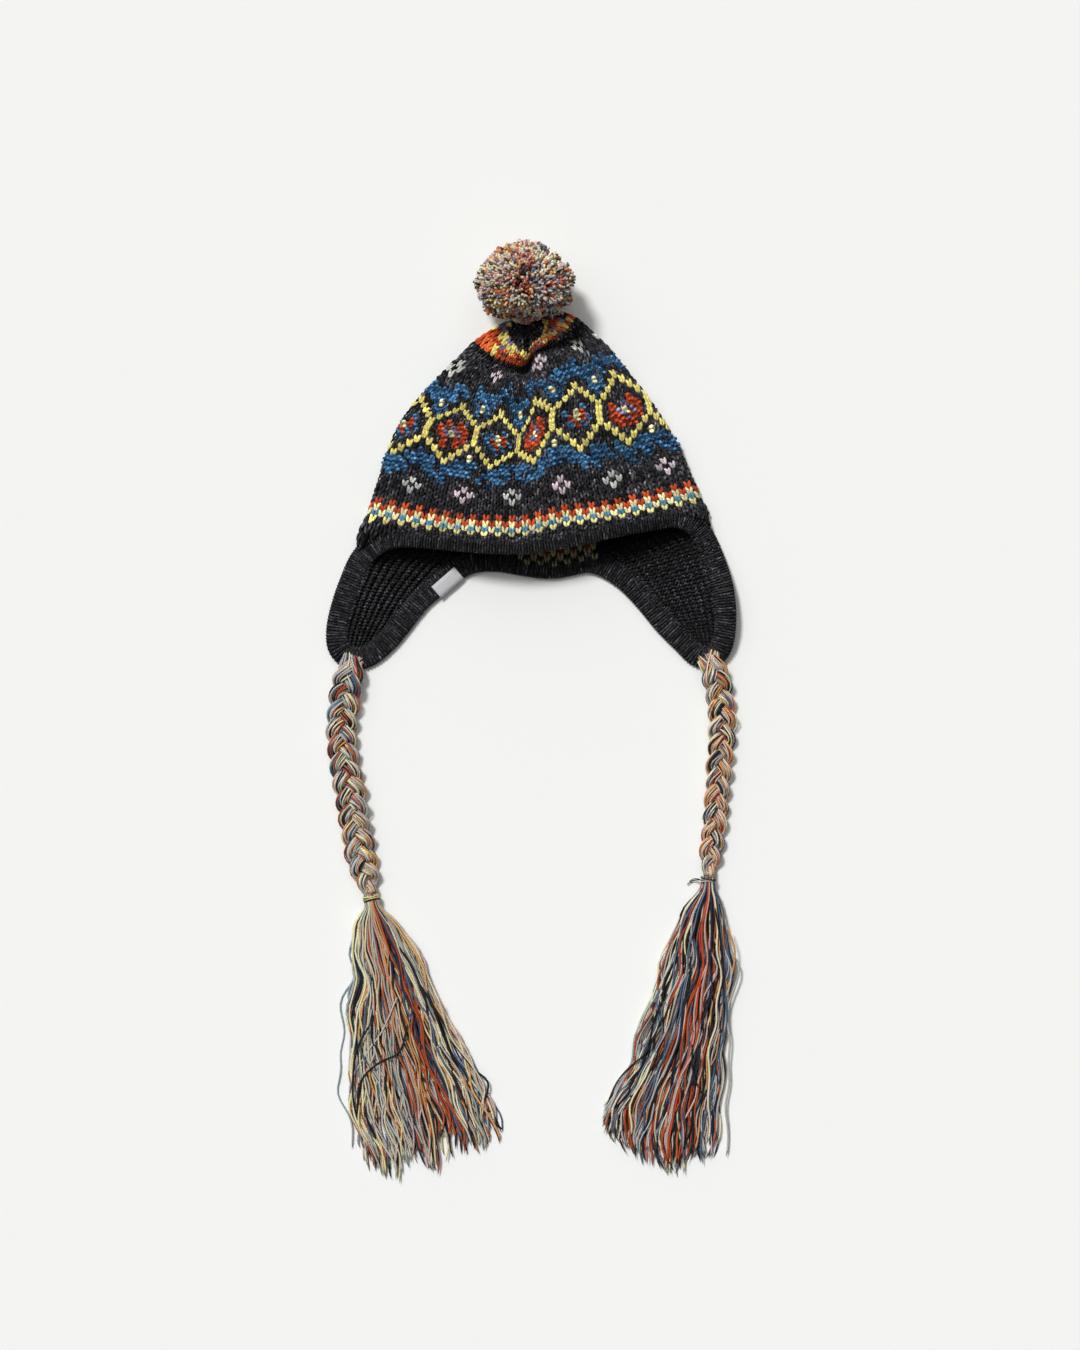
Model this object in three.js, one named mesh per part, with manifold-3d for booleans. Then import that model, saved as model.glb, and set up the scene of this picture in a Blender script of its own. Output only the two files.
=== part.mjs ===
// A knitted beanie with ear flaps, a pompom and two braided ties, lying on its back.
// Millimetres, +Z up, +Y towards the pompom. The lying face of the back panel is z = 0.
import * as THREE from "three";
import { mergeVertices } from "three/addons/utils/BufferGeometryUtils.js";
import Module from "manifold-3d";

const wasm = await Module();
wasm.setup();

// Driving dimensions
const GAP = 0.3;                 // air left between neighbouring pieces
const WALL = 3.5;                // stranded knit, two layers of yarn thick
const BAND_WIDTH = 17;           // ribbed binding round the whole edge
const BAND_THICKNESS = 5;
const FLAP_THICKNESS = 4;
const POMPOM_RADIUS = 36;
const POMPOM_CENTRE = new THREE.Vector3(-5, 126, 35.15);
const LABEL_SIZE = [22, 12, 0.8];
const BRAID_PITCH = 39;          // length in which one strand crosses the braid and comes back
const FOLD_AT = 0.53;            // the front pleat, as a share of the width

// Crown courses, from the binding up to the tip: the course number, the two side edges,
// how far the course dips in the middle, how far it steps up past the pleat, the height of
// the front panel, the height of the side fold and the depth of the pleat.
const COURSE_COLUMNS = ["course", "xl", "yl", "xr", "yr", "dip", "step", "height", "side", "pleat"];
const COURSES = table(COURSE_COLUMNS, [
  [0, -123.5, -48, 127, -36, 20, 6, 38, 5, 0],
  [4, -118, -31, 120.5, -19, 19, 8, 37, 6, 0.5],
  [8, -113, -15, 113.5, -3, 18, 11, 36.5, 7, 2],
  [12, -107.5, 3, 105.5, 13.5, 18, 14, 36, 8, 4],
  [16, -100, 19, 96, 29, 18, 16, 35, 9, 6],
  [20, -91, 34, 85.5, 44, 17, 17, 33.5, 9, 8],
  [24, -80, 46.5, 73, 60, 17, 16, 32, 9, 9],
  [28, -67.5, 59.5, 60.5, 76, 18, 15, 31, 9, 10],
  [32, -55, 72, 47.5, 90, 21, 12, 29, 9, 10],
  [36, -40, 85.5, 34, 102, 24, 8, 27, 9, 9],
  [39, -29.5, 93, 23, 106.5, 24, 5, 24, 9, 7],
  [42, -20.5, 97.5, 12.5, 105.5, 16, 2, 21, 9, 4],
  [45, -10.5, 99.5, 2.5, 101, 5, 0, 17, 8.5, 0],
]);

// Stations across the front panel and the back panel, as shares of the width
const FRONT_STATIONS = [0, 0.012, 0.05, 0.11, 0.19, 0.28, 0.37, 0.44, 0.48, 0.51, 0.53, 0.55,
  0.58, 0.63, 0.7, 0.79, 0.88, 0.95, 0.988, 1];
const BACK_STATIONS = [0.97, 0.88, 0.75, 0.6, 0.45, 0.3, 0.16, 0.07, 0.02];
const COURSE_STATIONS = [0, 4, 9, 13, 17, 21, 25, 29, 32, 35, 37.5, 40, 42, 44, 45];
const LAST_HOLLOW_COURSE = 40;

// Centre line of the binding, going round the edge of the hat once
const BRIM_LINE = points([[-100, -62.5], [-77.5, -63.5], [-53.5, -66], [-25, -68], [-6.5, -68],
  [17.5, -65], [42.5, -60], [66.5, -54.5], [92.5, -49.5], [107.5, -47]]);
const RIGHT_FLAP_LINE = points([[121, -52], [130, -64], [136.5, -79], [144, -102], [146, -120],
  [144.5, -134], [140.5, -146.5], [133, -152.2], [124, -150], [114, -140.5], [100, -126.5],
  [85.5, -109], [71, -94], [56, -84]]);
const NAPE_LINE = points([[42.5, -80], [31, -82], [17.5, -84.5], [8.5, -84.5], [-6, -82.5],
  [-24.5, -79.5], [-41.5, -80]]);
const LEFT_FLAP_LINE = points([[-54.5, -85], [-73.5, -100], [-84, -109.5], [-108, -139],
  [-123.5, -151.2], [-135.5, -152.2], [-144, -145], [-146, -132], [-144, -116.5], [-137.5, -97],
  [-128, -78], [-115, -67]]);
// Lower edge of the back panel, where the flaps begin
const BACK_EDGE = points([[-123.5, -67], [-115, -70], [-84, -76], [-41.5, -80], [-6, -82.5],
  [17.5, -84.5], [42.5, -80], [56, -78], [88, -66], [118, -55], [127, -52]]);
const BAND_CORNER_HEIGHT = 4.2;
const BRIM_TILT = 0.6;           // radians that the brim leans, where the front panel is highest

// The two braids: centre line on the floor, and size against the full braid
const LEFT_BRAID = {
  line: points([[-136, -153.5], [-136, -159], [-136.5, -166], [-139.5, -179], [-141.5, -192],
    [-142, -205.5], [-141, -219], [-139.5, -232.5], [-137, -246], [-134.5, -259.5],
    [-132.5, -273], [-130, -286], [-127.5, -299], [-124.5, -312], [-122, -322], [-120.5, -329]]),
  scale: [1, 1, 1, 0.95],
  tie: { radius: 6.4, length: 6 },
};
const RIGHT_BRAID = {
  line: points([[132.5, -153.5], [135, -159], [139, -168], [141.5, -183], [142.5, -196],
    [142.5, -208.5], [141.5, -221], [140.5, -235], [139.5, -247.5], [138.5, -260],
    [137.5, -273], [136, -286], [134.5, -299], [133.5, -308], [132.5, -316]]),
  scale: [0.92, 0.88, 0.8, 0.74],
  tie: { radius: 5.8, length: 4.8 },
};
// One strand across a full braid: swing to each side, swing up and down, half width and half height
const STRAND = { swing: 7.3, lift: 3.8, halfWidth: 2.8, halfHeight: 2.3 };
const FLAT_BEFORE_EDGE = 10;     // the braid lies over the binding for this length, then comes down
const RISE_OVER_BAND = 4.65;     // lays the lowest strand on the binding with the gap between them
const TAPER_TO_TIE = 18;

// Tassel fans: the left and the right edge at each distance down from the tie
const FAN_COLUMNS = ["y", "xl", "xr"];
const LEFT_TASSEL = {
  fan: table(FAN_COLUMNS, [[-336.5, -124.5, -113.5], [-352, -133, -98.5], [-372, -133.5, -87],
    [-392, -131, -75], [-415, -134, -65], [-440, -136, -55], [-464, -136, -40],
    [-488, -133, -29.5], [-510, -129.5, -21], [-546, -120, -17]]),
  tips: [-531, -541, -546, -533, -524, -541, -529, -519, -527, -516, -519, -503],
};
const RIGHT_TASSEL = {
  fan: table(FAN_COLUMNS, [[-322, 127.5, 138], [-340, 114.5, 143], [-360, 105, 146],
    [-382, 99, 149], [-404, 91, 150], [-428, 84, 147], [-453, 75.5, 144], [-471, 64, 142],
    [-489, 54.5, 139.5], [-511, 49, 138.5], [-540, 60, 136]]),
  tips: [-499, -509, -521, -526, -522, -535, -538, -541, -535, -529, -531, -524],
};
const LOCK = { halfWidth: [5.2, 5.6, 5.4, 5, 3.2], halfHeight: [5, 4.6, 4.2, 3.4, 1.8], sides: 6 };
const TASSEL_HEAD = { radius: 6.4, length: 11 };

function table(columns, rows) {
  return rows.map((row) => Object.fromEntries(columns.map((name, i) => [name, row[i]])));
}

function points(pairs) {
  return pairs.map(([x, y]) => new THREE.Vector2(x, y));
}

function clamp01(value) {
  return Math.min(1, Math.max(0, value));
}

function smooth(value) {
  const t = clamp01(value);
  return t * t * (3 - 2 * t);
}

// One row of a table at a value of its first column, with straight lines between rows
function at(rows, key, value) {
  const rising = rows[rows.length - 1][key] > rows[0][key];
  let i = 0;
  while (i < rows.length - 2 && (rising ? rows[i + 1][key] < value : rows[i + 1][key] > value)) {
    i += 1;
  }
  const share = clamp01((value - rows[i][key]) / (rows[i + 1][key] - rows[i][key]));
  return Object.fromEntries(Object.keys(rows[i]).map(
    (name) => [name, rows[i][name] + (rows[i + 1][name] - rows[i][name]) * share]));
}

// y of a line of points at x
function heightAlong(line, x) {
  return at(line, "x", x).y;
}

// A list read as evenly spaced values, at a share from 0 to 1
function ramp(values, share) {
  const place = clamp01(share) * (values.length - 1);
  const i = Math.min(Math.floor(place), values.length - 2);
  return values[i] + (values[i + 1] - values[i]) * (place - i);
}

// A closed body through rings of points: each ring joins the next, and the ends close on their
// middle points, or the last ring joins the first
function loft(rings, { looped = false } = {}) {
  const sides = rings[0].length;
  const positions = rings.flat().flatMap((p) => [p.x, p.y, p.z]);
  const index = [];
  const spans = looped ? rings.length : rings.length - 1;
  for (let i = 0; i < spans; i += 1) {
    const a = i * sides;
    const b = ((i + 1) % rings.length) * sides;
    for (let j = 0; j < sides; j += 1) {
      const k = (j + 1) % sides;
      index.push(a + j, a + k, b + k, a + j, b + k, b + j);
    }
  }
  if (!looped) {
    for (const [start, flip] of [[0, true], [(rings.length - 1) * sides, false]]) {
      const ring = rings[start / sides];
      const middle = ring.reduce((sum, p) => sum.add(p), new THREE.Vector3()).divideScalar(sides);
      const centre = positions.length / 3;
      positions.push(middle.x, middle.y, middle.z);
      for (let j = 0; j < sides; j += 1) {
        const k = (j + 1) % sides;
        index.push(...(flip ? [centre, start + k, start + j] : [centre, start + j, start + k]));
      }
    }
  }
  const geometry = new THREE.BufferGeometry();
  geometry.setAttribute("position", new THREE.Float32BufferAttribute(positions, 3));
  geometry.setIndex(index);
  return outward(geometry);
}

// Turns a closed surface's faces so that they point out, by the sign of its volume
function outward(geometry) {
  const p = geometry.getAttribute("position");
  const index = geometry.getIndex().array;
  const [a, b, c] = [new THREE.Vector3(), new THREE.Vector3(), new THREE.Vector3()];
  let volume = 0;
  for (let i = 0; i < index.length; i += 3) {
    a.fromBufferAttribute(p, index[i]);
    b.fromBufferAttribute(p, index[i + 1]);
    c.fromBufferAttribute(p, index[i + 2]);
    volume += a.dot(b.cross(c));
  }
  if (volume < 0) {
    for (let i = 0; i < index.length; i += 3) {
      [index[i], index[i + 1]] = [index[i + 1], index[i]];
    }
  }
  return geometry;
}

function toSolid(geometry) {
  const bare = new THREE.BufferGeometry();
  bare.setAttribute("position", geometry.getAttribute("position"));
  bare.setIndex(geometry.getIndex());
  const merged = mergeVertices(bare, 1e-4);
  return new wasm.Manifold(new wasm.Mesh({
    numProp: 3,
    vertProperties: new Float32Array(merged.getAttribute("position").array),
    triVerts: new Uint32Array(merged.getIndex().array),
  }));
}

function toGeometry(solid) {
  const mesh = solid.getMesh();
  const geometry = new THREE.BufferGeometry();
  geometry.setAttribute("position", new THREE.Float32BufferAttribute(mesh.vertProperties, 3));
  geometry.setIndex(new THREE.BufferAttribute(mesh.triVerts, 1));
  return geometry;
}

function colour(hex, roughness = 0.95) {
  return new THREE.MeshStandardMaterial({ color: hex, roughness, metalness: 0 });
}

function piece(name, geometry, hex) {
  const mesh = new THREE.Mesh(geometry, colour(hex));
  mesh.name = name;
  return mesh;
}

// The turn that points a cylinder's or a lathe's own axis, +Y, along a direction
function turnTo(direction) {
  return new THREE.Quaternion().setFromUnitVectors(new THREE.Vector3(0, 1, 0), direction);
}

// Crown

// How far a course lies below the straight line between its side edges, at a share of the width
function courseDip(row, share) {
  const step = smooth((share - 0.44) / 0.16) * Math.min(1, (1 - share) / 0.4);
  return row.dip * Math.sin(Math.PI * share) - row.step * step;
}

// Height of the front panel's outer face over the floor
function frontHeight(row, share) {
  const arch = Math.pow(Math.sin(Math.PI * clamp01(share)), 0.8);
  const pleat = Math.exp(-(((share - FOLD_AT) / 0.045) ** 2));
  const ridge = Math.exp(-(((share - FOLD_AT - 0.11) / 0.06) ** 2));
  return row.side + (row.height - row.side) * arch - row.pleat * (pleat - 0.3 * ridge);
}

// Height of the back panel's outer face, flat on the floor but for the side folds
function backHeight(row, share) {
  const round = Math.min(1, 1.3 * Math.pow(Math.sin(Math.PI * clamp01(share)), 0.5));
  return row.side * (1 - round);
}

// One ring of the crown's wall: the front from left to right, then the back from right to left.
// The ring for the inner face lies one wall thickness further in.
function crownRing(course, inner) {
  const row = at(COURSES, "course", course);
  const inset = inner ? WALL : 0;
  const width = row.xr - row.xl;
  const place = (share, front) => {
    const x = row.xl + inset + (width - 2 * inset) * share;
    let y = row.yl + (row.yr - row.yl) * share - courseDip(row, share);
    if (course === 0) {
      y = front ? heightAlong(BRIM_LINE, x) : heightAlong(BACK_EDGE, x);
    } else if (!front) {
      const reach = 1 - smooth(course / 24);
      const edge = at(COURSES, "course", 0);
      const mouth = heightAlong(BACK_EDGE, edge.xl + (edge.xr - edge.xl) * share);
      const front0 = edge.yl + (edge.yr - edge.yl) * share - courseDip(edge, share);
      y += (mouth - front0) * reach * reach;
    }
    const z = front
      ? Math.max(frontHeight(row, share) - inset, row.side)
      : Math.min(backHeight(row, share) + inset, row.side);
    return new THREE.Vector3(x, y, z);
  };
  return [
    ...FRONT_STATIONS.map((share) => place(share, true)),
    ...BACK_STATIONS.map((share) => place(share, false)),
  ];
}

// The crown is one wall: up the outside to the tip, and a hollow taken out of it from the mouth
function crownSolid() {
  const outer = loft(COURSE_STATIONS.map((course) => crownRing(course, false)));
  const hollowStations = COURSE_STATIONS.filter((course) => course <= LAST_HOLLOW_COURSE);
  const rings = hollowStations.map((course) => crownRing(course, true));
  const mouth = rings[0].map((p) => new THREE.Vector3(p.x, p.y - 30, p.z));
  const hollow = loft([mouth, ...rings]);
  return toSolid(outer).subtract(toSolid(hollow));
}

// Binding

function mouthHeight(x) {
  const row = at(COURSES, "course", 0);
  return frontHeight(row, (x - row.xl) / (row.xr - row.xl));
}

// Centre line of the binding in space: on the front panel's edge at the brim, flat elsewhere
function bandLine() {
  const flatHeight = BAND_THICKNESS / 2 + 0.05;
  const brim = BRIM_LINE.map((p) => new THREE.Vector3(p.x, p.y, mouthHeight(p.x) - WALL / 2));
  const flat = (p) => new THREE.Vector3(p.x, p.y, flatHeight);
  const right = RIGHT_FLAP_LINE.map(flat);
  const left = LEFT_FLAP_LINE.map(flat);
  right[0].z = mouthHeight(right[0].x) - WALL / 2;
  right[1].z = BAND_CORNER_HEIGHT;
  left[left.length - 1].z = mouthHeight(left[left.length - 1].x) - WALL / 2;
  left[left.length - 2].z = BAND_CORNER_HEIGHT - 1;
  return new THREE.CatmullRomCurve3(
    [...brim, ...right, ...NAPE_LINE.map(flat), ...left], true, "centripetal");
}

// The binding: a rounded flat section carried along its line. The brim leans by its height.
function bandSolid(grow) {
  const line = bandLine();
  const steps = 74;
  const halfWidth = BAND_WIDTH / 2 + grow;
  const halfThick = BAND_THICKNESS / 2 + grow;
  const profile = [[1, 0.4], [0.86, 1], [-0.86, 1], [-1, 0.4], [-1, -0.4], [-0.86, -1],
    [0.86, -1], [1, -0.4]];
  const rings = [];
  for (let i = 0; i < steps; i += 1) {
    const centre = line.getPointAt(i / steps);
    centre.z = Math.max(centre.z, BAND_THICKNESS / 2 + 0.05);
    const along = line.getTangentAt(i / steps);
    const level = new THREE.Vector3(along.y, -along.x, 0).normalize();
    const lean = BRIM_TILT * smooth((centre.z - 8) / 20);
    const across = level.multiplyScalar(Math.cos(lean)).setZ(-Math.sin(lean)).normalize();
    const up = new THREE.Vector3().crossVectors(along, across).normalize();
    rings.push(profile.map(([w, h]) => centre.clone()
      .addScaledVector(across, w * halfWidth).addScaledVector(up, h * halfThick)));
  }
  return toSolid(loft(rings, { looped: true }));
}

// Ear flaps

// A flap is a flat slab between its outer and its inner edge, from the back panel to its tip
function flapSolid(outerLine, innerLine, topLine) {
  const outer = new THREE.CatmullRomCurve3(outerLine.map((p) => new THREE.Vector3(p.x, p.y, 0)));
  const inner = new THREE.CatmullRomCurve3(innerLine.map((p) => new THREE.Vector3(p.x, p.y, 0)));
  const top = new THREE.CatmullRomCurve3(topLine.map((p) => new THREE.Vector3(p.x, p.y, 0)));
  const across = 8;
  const down = 8;
  const rings = [];
  for (let i = 0; i <= down; i += 1) {
    const t = i / down;
    const a = outer.getPointAt(t);
    const b = inner.getPointAt(t);
    const face = [];
    for (let j = 0; j <= across; j += 1) {
      const s = j / across;
      const straight = a.clone().lerp(b, s);
      const first = outer.getPointAt(0).lerp(inner.getPointAt(0), s);
      const bend = top.getPoint(s).sub(first).multiplyScalar((1 - t) ** 2);
      const point = straight.add(bend);
      point.z = FLAP_THICKNESS + 0.4 * Math.sin(Math.PI * s) * Math.sin(Math.PI * t);
      face.push(point);
    }
    const floor = face.map((p) => new THREE.Vector3(p.x, p.y, 0)).reverse();
    rings.push([...face, ...floor]);
  }
  return toSolid(loft(rings));
}

// The flap's upper edge, just clear of the back panel's lower edge
function belowBackEdge(x0, x1) {
  const steps = 6;
  return Array.from({ length: steps + 1 }, (_, i) => {
    const x = x0 + ((x1 - x0) * i) / steps;
    return new THREE.Vector2(x, heightAlong(BACK_EDGE, x) - 4 * GAP);
  });
}

// Pompom

// Cut yarn ends stand out all round a round heart: tufts on evenly spread directions
function pompomSolid(centre) {
  const heart = new THREE.IcosahedronGeometry(POMPOM_RADIUS - 3.2, 2);
  let solid = toSolid(withIndex(heart));
  const tufts = 48;
  const golden = Math.PI * (3 - Math.sqrt(5));
  for (let i = 0; i < tufts; i += 1) {
    const z = 1 - (2 * (i + 0.5)) / tufts;
    const r = Math.sqrt(1 - z * z);
    const direction = new THREE.Vector3(r * Math.cos(i * golden), r * Math.sin(i * golden), z);
    const reach = POMPOM_RADIUS - (i % 3) * 0.8;
    const tuft = new THREE.CylinderGeometry(4, 6.4, 12, 5);
    tuft.translate(0, reach - 6, 0);
    tuft.applyQuaternion(turnTo(direction));
    solid = solid.add(toSolid(withIndex(tuft)));
  }
  const placed = toGeometry(solid);
  placed.translate(centre.x, centre.y, centre.z);
  return toSolid(placed);
}

function withIndex(geometry) {
  const bare = new THREE.BufferGeometry();
  bare.setAttribute("position", geometry.getAttribute("position"));
  if (geometry.getIndex()) {
    bare.setIndex(geometry.getIndex());
  }
  return mergeVertices(bare, 1e-3);
}

// Braided ties

function braidCurve(line) {
  return new THREE.CatmullRomCurve3(line.map((p) => new THREE.Vector3(p.x, p.y, 0)));
}

function braidScale(braid, distance, length) {
  const size = ramp(braid.scale, distance / length);
  const tail = smooth((length - distance) / TAPER_TO_TIE);
  return size * (0.62 + 0.38 * tail);
}

// One strand swings from side to side once a pitch, and up and down twice
function strandGeometry(braid, number) {
  const curve = braidCurve(braid.line);
  const length = curve.getLength();
  const stepsPerPitch = 8;
  const steps = Math.round((length / BRAID_PITCH) * stepsPerPitch);
  const sides = 8;
  const rings = [];
  for (let i = 0; i <= steps; i += 1) {
    const share = i / steps;
    const distance = share * length;
    const size = braidScale(braid, distance, length);
    const centre = curve.getPointAt(share);
    const along = curve.getTangentAt(share);
    const across = new THREE.Vector3(-along.y, along.x, 0);
    const phase = (2 * Math.PI * distance) / BRAID_PITCH + (2 * Math.PI * number) / 3;
    const middle = STRAND.lift + STRAND.halfHeight + 0.1;
    const nearTie = 1 - smooth((length - distance) / TAPER_TO_TIE);
    const tieRise = Math.max(0, nearTie * (braid.tie.radius - middle * size));
    const rise = RISE_OVER_BAND * (1 - smooth((distance - FLAT_BEFORE_EDGE) / 18));
    centre.addScaledVector(across, STRAND.swing * size * Math.sin(phase));
    centre.z = middle * size + rise + tieRise + STRAND.lift * size * Math.sin(2 * phase);
    const ring = [];
    for (let j = 0; j < sides; j += 1) {
      const angle = (2 * Math.PI * (j + 0.5)) / sides;
      const point = centre.clone()
        .addScaledVector(across, STRAND.halfWidth * size * Math.cos(angle));
      point.z += STRAND.halfHeight * size * Math.sin(angle);
      ring.push(point);
    }
    rings.push(ring);
  }
  return loft(rings);
}

// Where a braid ends, and which way it points there
function braidEnd(braid) {
  const curve = braidCurve(braid.line);
  return { place: curve.getPointAt(1), along: curve.getTangentAt(1) };
}

// The tie is three turns of yarn round the strands' ends
function tieGeometry(braid) {
  const { radius, length } = braid.tie;
  const turns = 3;
  const profile = [new THREE.Vector2(0, 0), new THREE.Vector2(radius - 1, 0)];
  for (let i = 0; i < turns; i += 1) {
    profile.push(new THREE.Vector2(radius, ((i + 0.5) * length) / turns));
    profile.push(new THREE.Vector2(radius - 1, ((i + 1) * length) / turns));
  }
  profile.push(new THREE.Vector2(0, length));
  const lathe = withIndex(new THREE.LatheGeometry(profile, 12));
  const { place, along } = braidEnd(braid);
  lathe.applyQuaternion(turnTo(along));
  const start = place.clone().addScaledVector(along, GAP);
  lathe.translate(start.x, start.y, radius + 0.05);
  return outward(lathe);
}

// Tassels

// A lock runs from the head down the fan at its share of the width, and ends in a thin tip
function lockRings(tassel, head, share, tipY, layer) {
  const stations = 5;
  const rings = [];
  const top = tassel.fan[0].y;
  for (let i = 0; i <= stations; i += 1) {
    const t = i / stations;
    const y = top + (tipY - top) * t;
    const row = at(tassel.fan, "y", y);
    const inset = ramp(LOCK.halfWidth, t) * 0.8;
    const x = row.xl + inset + (row.xr - row.xl - 2 * inset) * share;
    const squeeze = ramp([0.45, 1, 1, 1, 1], t);
    const halfWidth = ramp(LOCK.halfWidth, t) * squeeze;
    const halfHeight = ramp(LOCK.halfHeight, t) * ramp([0.7, 1, 1, 1, 1], t);
    const low = halfHeight + 0.05;
    const z = t === 0 ? head.radius : low + layer * ramp([0.6, 0.9, 0.8, 0.8, 0.7], t) * halfHeight;
    const ring = [];
    for (let j = 0; j < LOCK.sides; j += 1) {
      const angle = (2 * Math.PI * j) / LOCK.sides;
      const side = halfWidth * Math.cos(angle);
      ring.push(new THREE.Vector3(x + side, y, z + halfHeight * Math.sin(angle)));
    }
    rings.push(ring);
  }
  return rings;
}

// The head is a short round bundle behind the tie, and the locks fan out of it over the floor
function tasselSolid(braid, tassel) {
  const { place, along } = braidEnd(braid);
  const { radius, length } = TASSEL_HEAD;
  const head = new THREE.CylinderGeometry(radius, radius - 0.6, length, 12);
  head.translate(0, length / 2, 0);
  head.applyQuaternion(turnTo(along));
  const start = place.clone().addScaledVector(along, 2 * GAP + braid.tie.length);
  head.translate(start.x, start.y, radius + 0.05);
  let solid = toSolid(withIndex(head));
  const locks = tassel.tips.length;
  tassel.tips.forEach((tipY, i) => {
    const share = i / (locks - 1);
    solid = solid.add(toSolid(loft(lockRings(tassel, TASSEL_HEAD, share, tipY, i % 2))));
  });
  return solid;
}

// Label

// A bare woven label lies over the binding at the nape and folds down past the edge
function labelGeometry() {
  const [length, width, thick] = LABEL_SIZE;
  const drop = 3.4;
  const shape = new THREE.Shape([
    new THREE.Vector2(0, 0), new THREE.Vector2(0, thick), new THREE.Vector2(width - thick, thick),
    new THREE.Vector2(width, 0), new THREE.Vector2(width, -drop),
    new THREE.Vector2(width - thick, -drop), new THREE.Vector2(width - thick, 0),
  ]);
  const geometry = new THREE.ExtrudeGeometry(shape, { depth: length, bevelEnabled: false });
  geometry.rotateX(Math.PI / 2);
  geometry.translate(0, length / 2, 0);
  return withIndex(geometry);
}

// Assembly

const hat = new THREE.Group();
const band = bandSolid(0);
const bandClear = bandSolid(GAP);
const pompomClear = toSolid(withIndex(new THREE.IcosahedronGeometry(POMPOM_RADIUS + 3 * GAP, 3)
  .translate(POMPOM_CENTRE.x, POMPOM_CENTRE.y, POMPOM_CENTRE.z)));

const crown = crownSolid().subtract(bandClear).subtract(pompomClear);
hat.add(piece("crown", toGeometry(crown), "#2d2c2f"));
hat.add(piece("rim_binding", toGeometry(band), "#3b3a3d"));

const rightOuter = [new THREE.Vector2(123, -58), ...RIGHT_FLAP_LINE.slice(1, 8)];
const rightInner = [...RIGHT_FLAP_LINE.slice(8)].reverse();
const rightFlap = flapSolid(rightOuter, rightInner, belowBackEdge(123, 56));
hat.add(piece("earflap_right", toGeometry(rightFlap.subtract(bandClear)), "#343336"));

const leftOuter = [new THREE.Vector2(-118, -72), ...[...LEFT_FLAP_LINE.slice(5, 11)].reverse()];
const leftInner = LEFT_FLAP_LINE.slice(0, 5);
const leftFlap = flapSolid(leftOuter, leftInner, belowBackEdge(-118, -54.5));
hat.add(piece("earflap_left", toGeometry(leftFlap.subtract(bandClear)), "#343336"));

const label = piece("label", labelGeometry(), "#f1efeb");
label.rotation.z = -Math.atan2(0.82, 0.57);
label.position.set(-65.8, -92.4, BAND_THICKNESS + 0.1 + GAP);
hat.add(label);

hat.add(piece("pompom", toGeometry(pompomSolid(POMPOM_CENTRE)), "#b98f7c"));

for (const [side, braid, tassel] of [
  ["left", LEFT_BRAID, LEFT_TASSEL],
  ["right", RIGHT_BRAID, RIGHT_TASSEL],
]) {
  ["#d8cf9a", "#b9603f", "#5a7396"].forEach((hex, i) => {
    hat.add(piece(`braid_${side}_strand_${i + 1}`, strandGeometry(braid, i), hex));
  });
  hat.add(piece(`tie_wrap_${side}`, tieGeometry(braid), "#a9ae6c"));
  hat.add(piece(`tassel_${side}`, toGeometry(tasselSolid(braid, tassel)), "#9a8f8a"));
}

export default hat;
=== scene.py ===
"""A knitted beanie with ear flaps, a pompom and two braided ties, lying on its back.

Shapes are worked out in millimetres as whole numpy arrays and put into meshes in metres.
"""

import math

import bpy
import numpy as np
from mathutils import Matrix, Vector


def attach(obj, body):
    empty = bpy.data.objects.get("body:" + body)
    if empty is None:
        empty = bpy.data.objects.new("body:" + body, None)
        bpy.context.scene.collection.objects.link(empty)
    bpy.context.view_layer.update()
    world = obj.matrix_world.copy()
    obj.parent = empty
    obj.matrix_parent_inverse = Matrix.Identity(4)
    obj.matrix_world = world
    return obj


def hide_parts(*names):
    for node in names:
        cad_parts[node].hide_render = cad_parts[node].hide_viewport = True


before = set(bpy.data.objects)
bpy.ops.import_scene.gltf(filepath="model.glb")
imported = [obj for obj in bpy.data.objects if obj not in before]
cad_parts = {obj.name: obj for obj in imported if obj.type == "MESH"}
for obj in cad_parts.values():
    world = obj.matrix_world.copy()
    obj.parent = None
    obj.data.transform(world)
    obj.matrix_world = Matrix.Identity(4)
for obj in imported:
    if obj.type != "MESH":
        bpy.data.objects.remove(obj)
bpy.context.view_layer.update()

MM = 0.001
BODY = "root"

# Sizes that the CAD part has too, in millimetres
WALL = 3.5
BAND_WIDTH = 17.0
BAND_THICKNESS = 5.0
FLAP_THICKNESS = 4.0
POMPOM_CENTRE = np.array([-5.0, 126.0, 35.15])
POMPOM_RADIUS = 36.0
POMPOM_SAG = np.array([0.0, -4.0, 0.0])     # the ball hangs a little below its middle's place
FOLD_AT = 0.53
BRAID_PITCH = 39.0
STITCHES_ROUND = 96
LAST_COURSE = 45
LAST_HOLLOW_COURSE = 40
CROWN_WIDTH = 250.0              # lying flat
COURSE_HEIGHT = 4.2
FLOOR_GAP = 0.05                 # stitches and ribs stay this far above the floor
UP = np.array([0.0, 0.0, 1.0])

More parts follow.
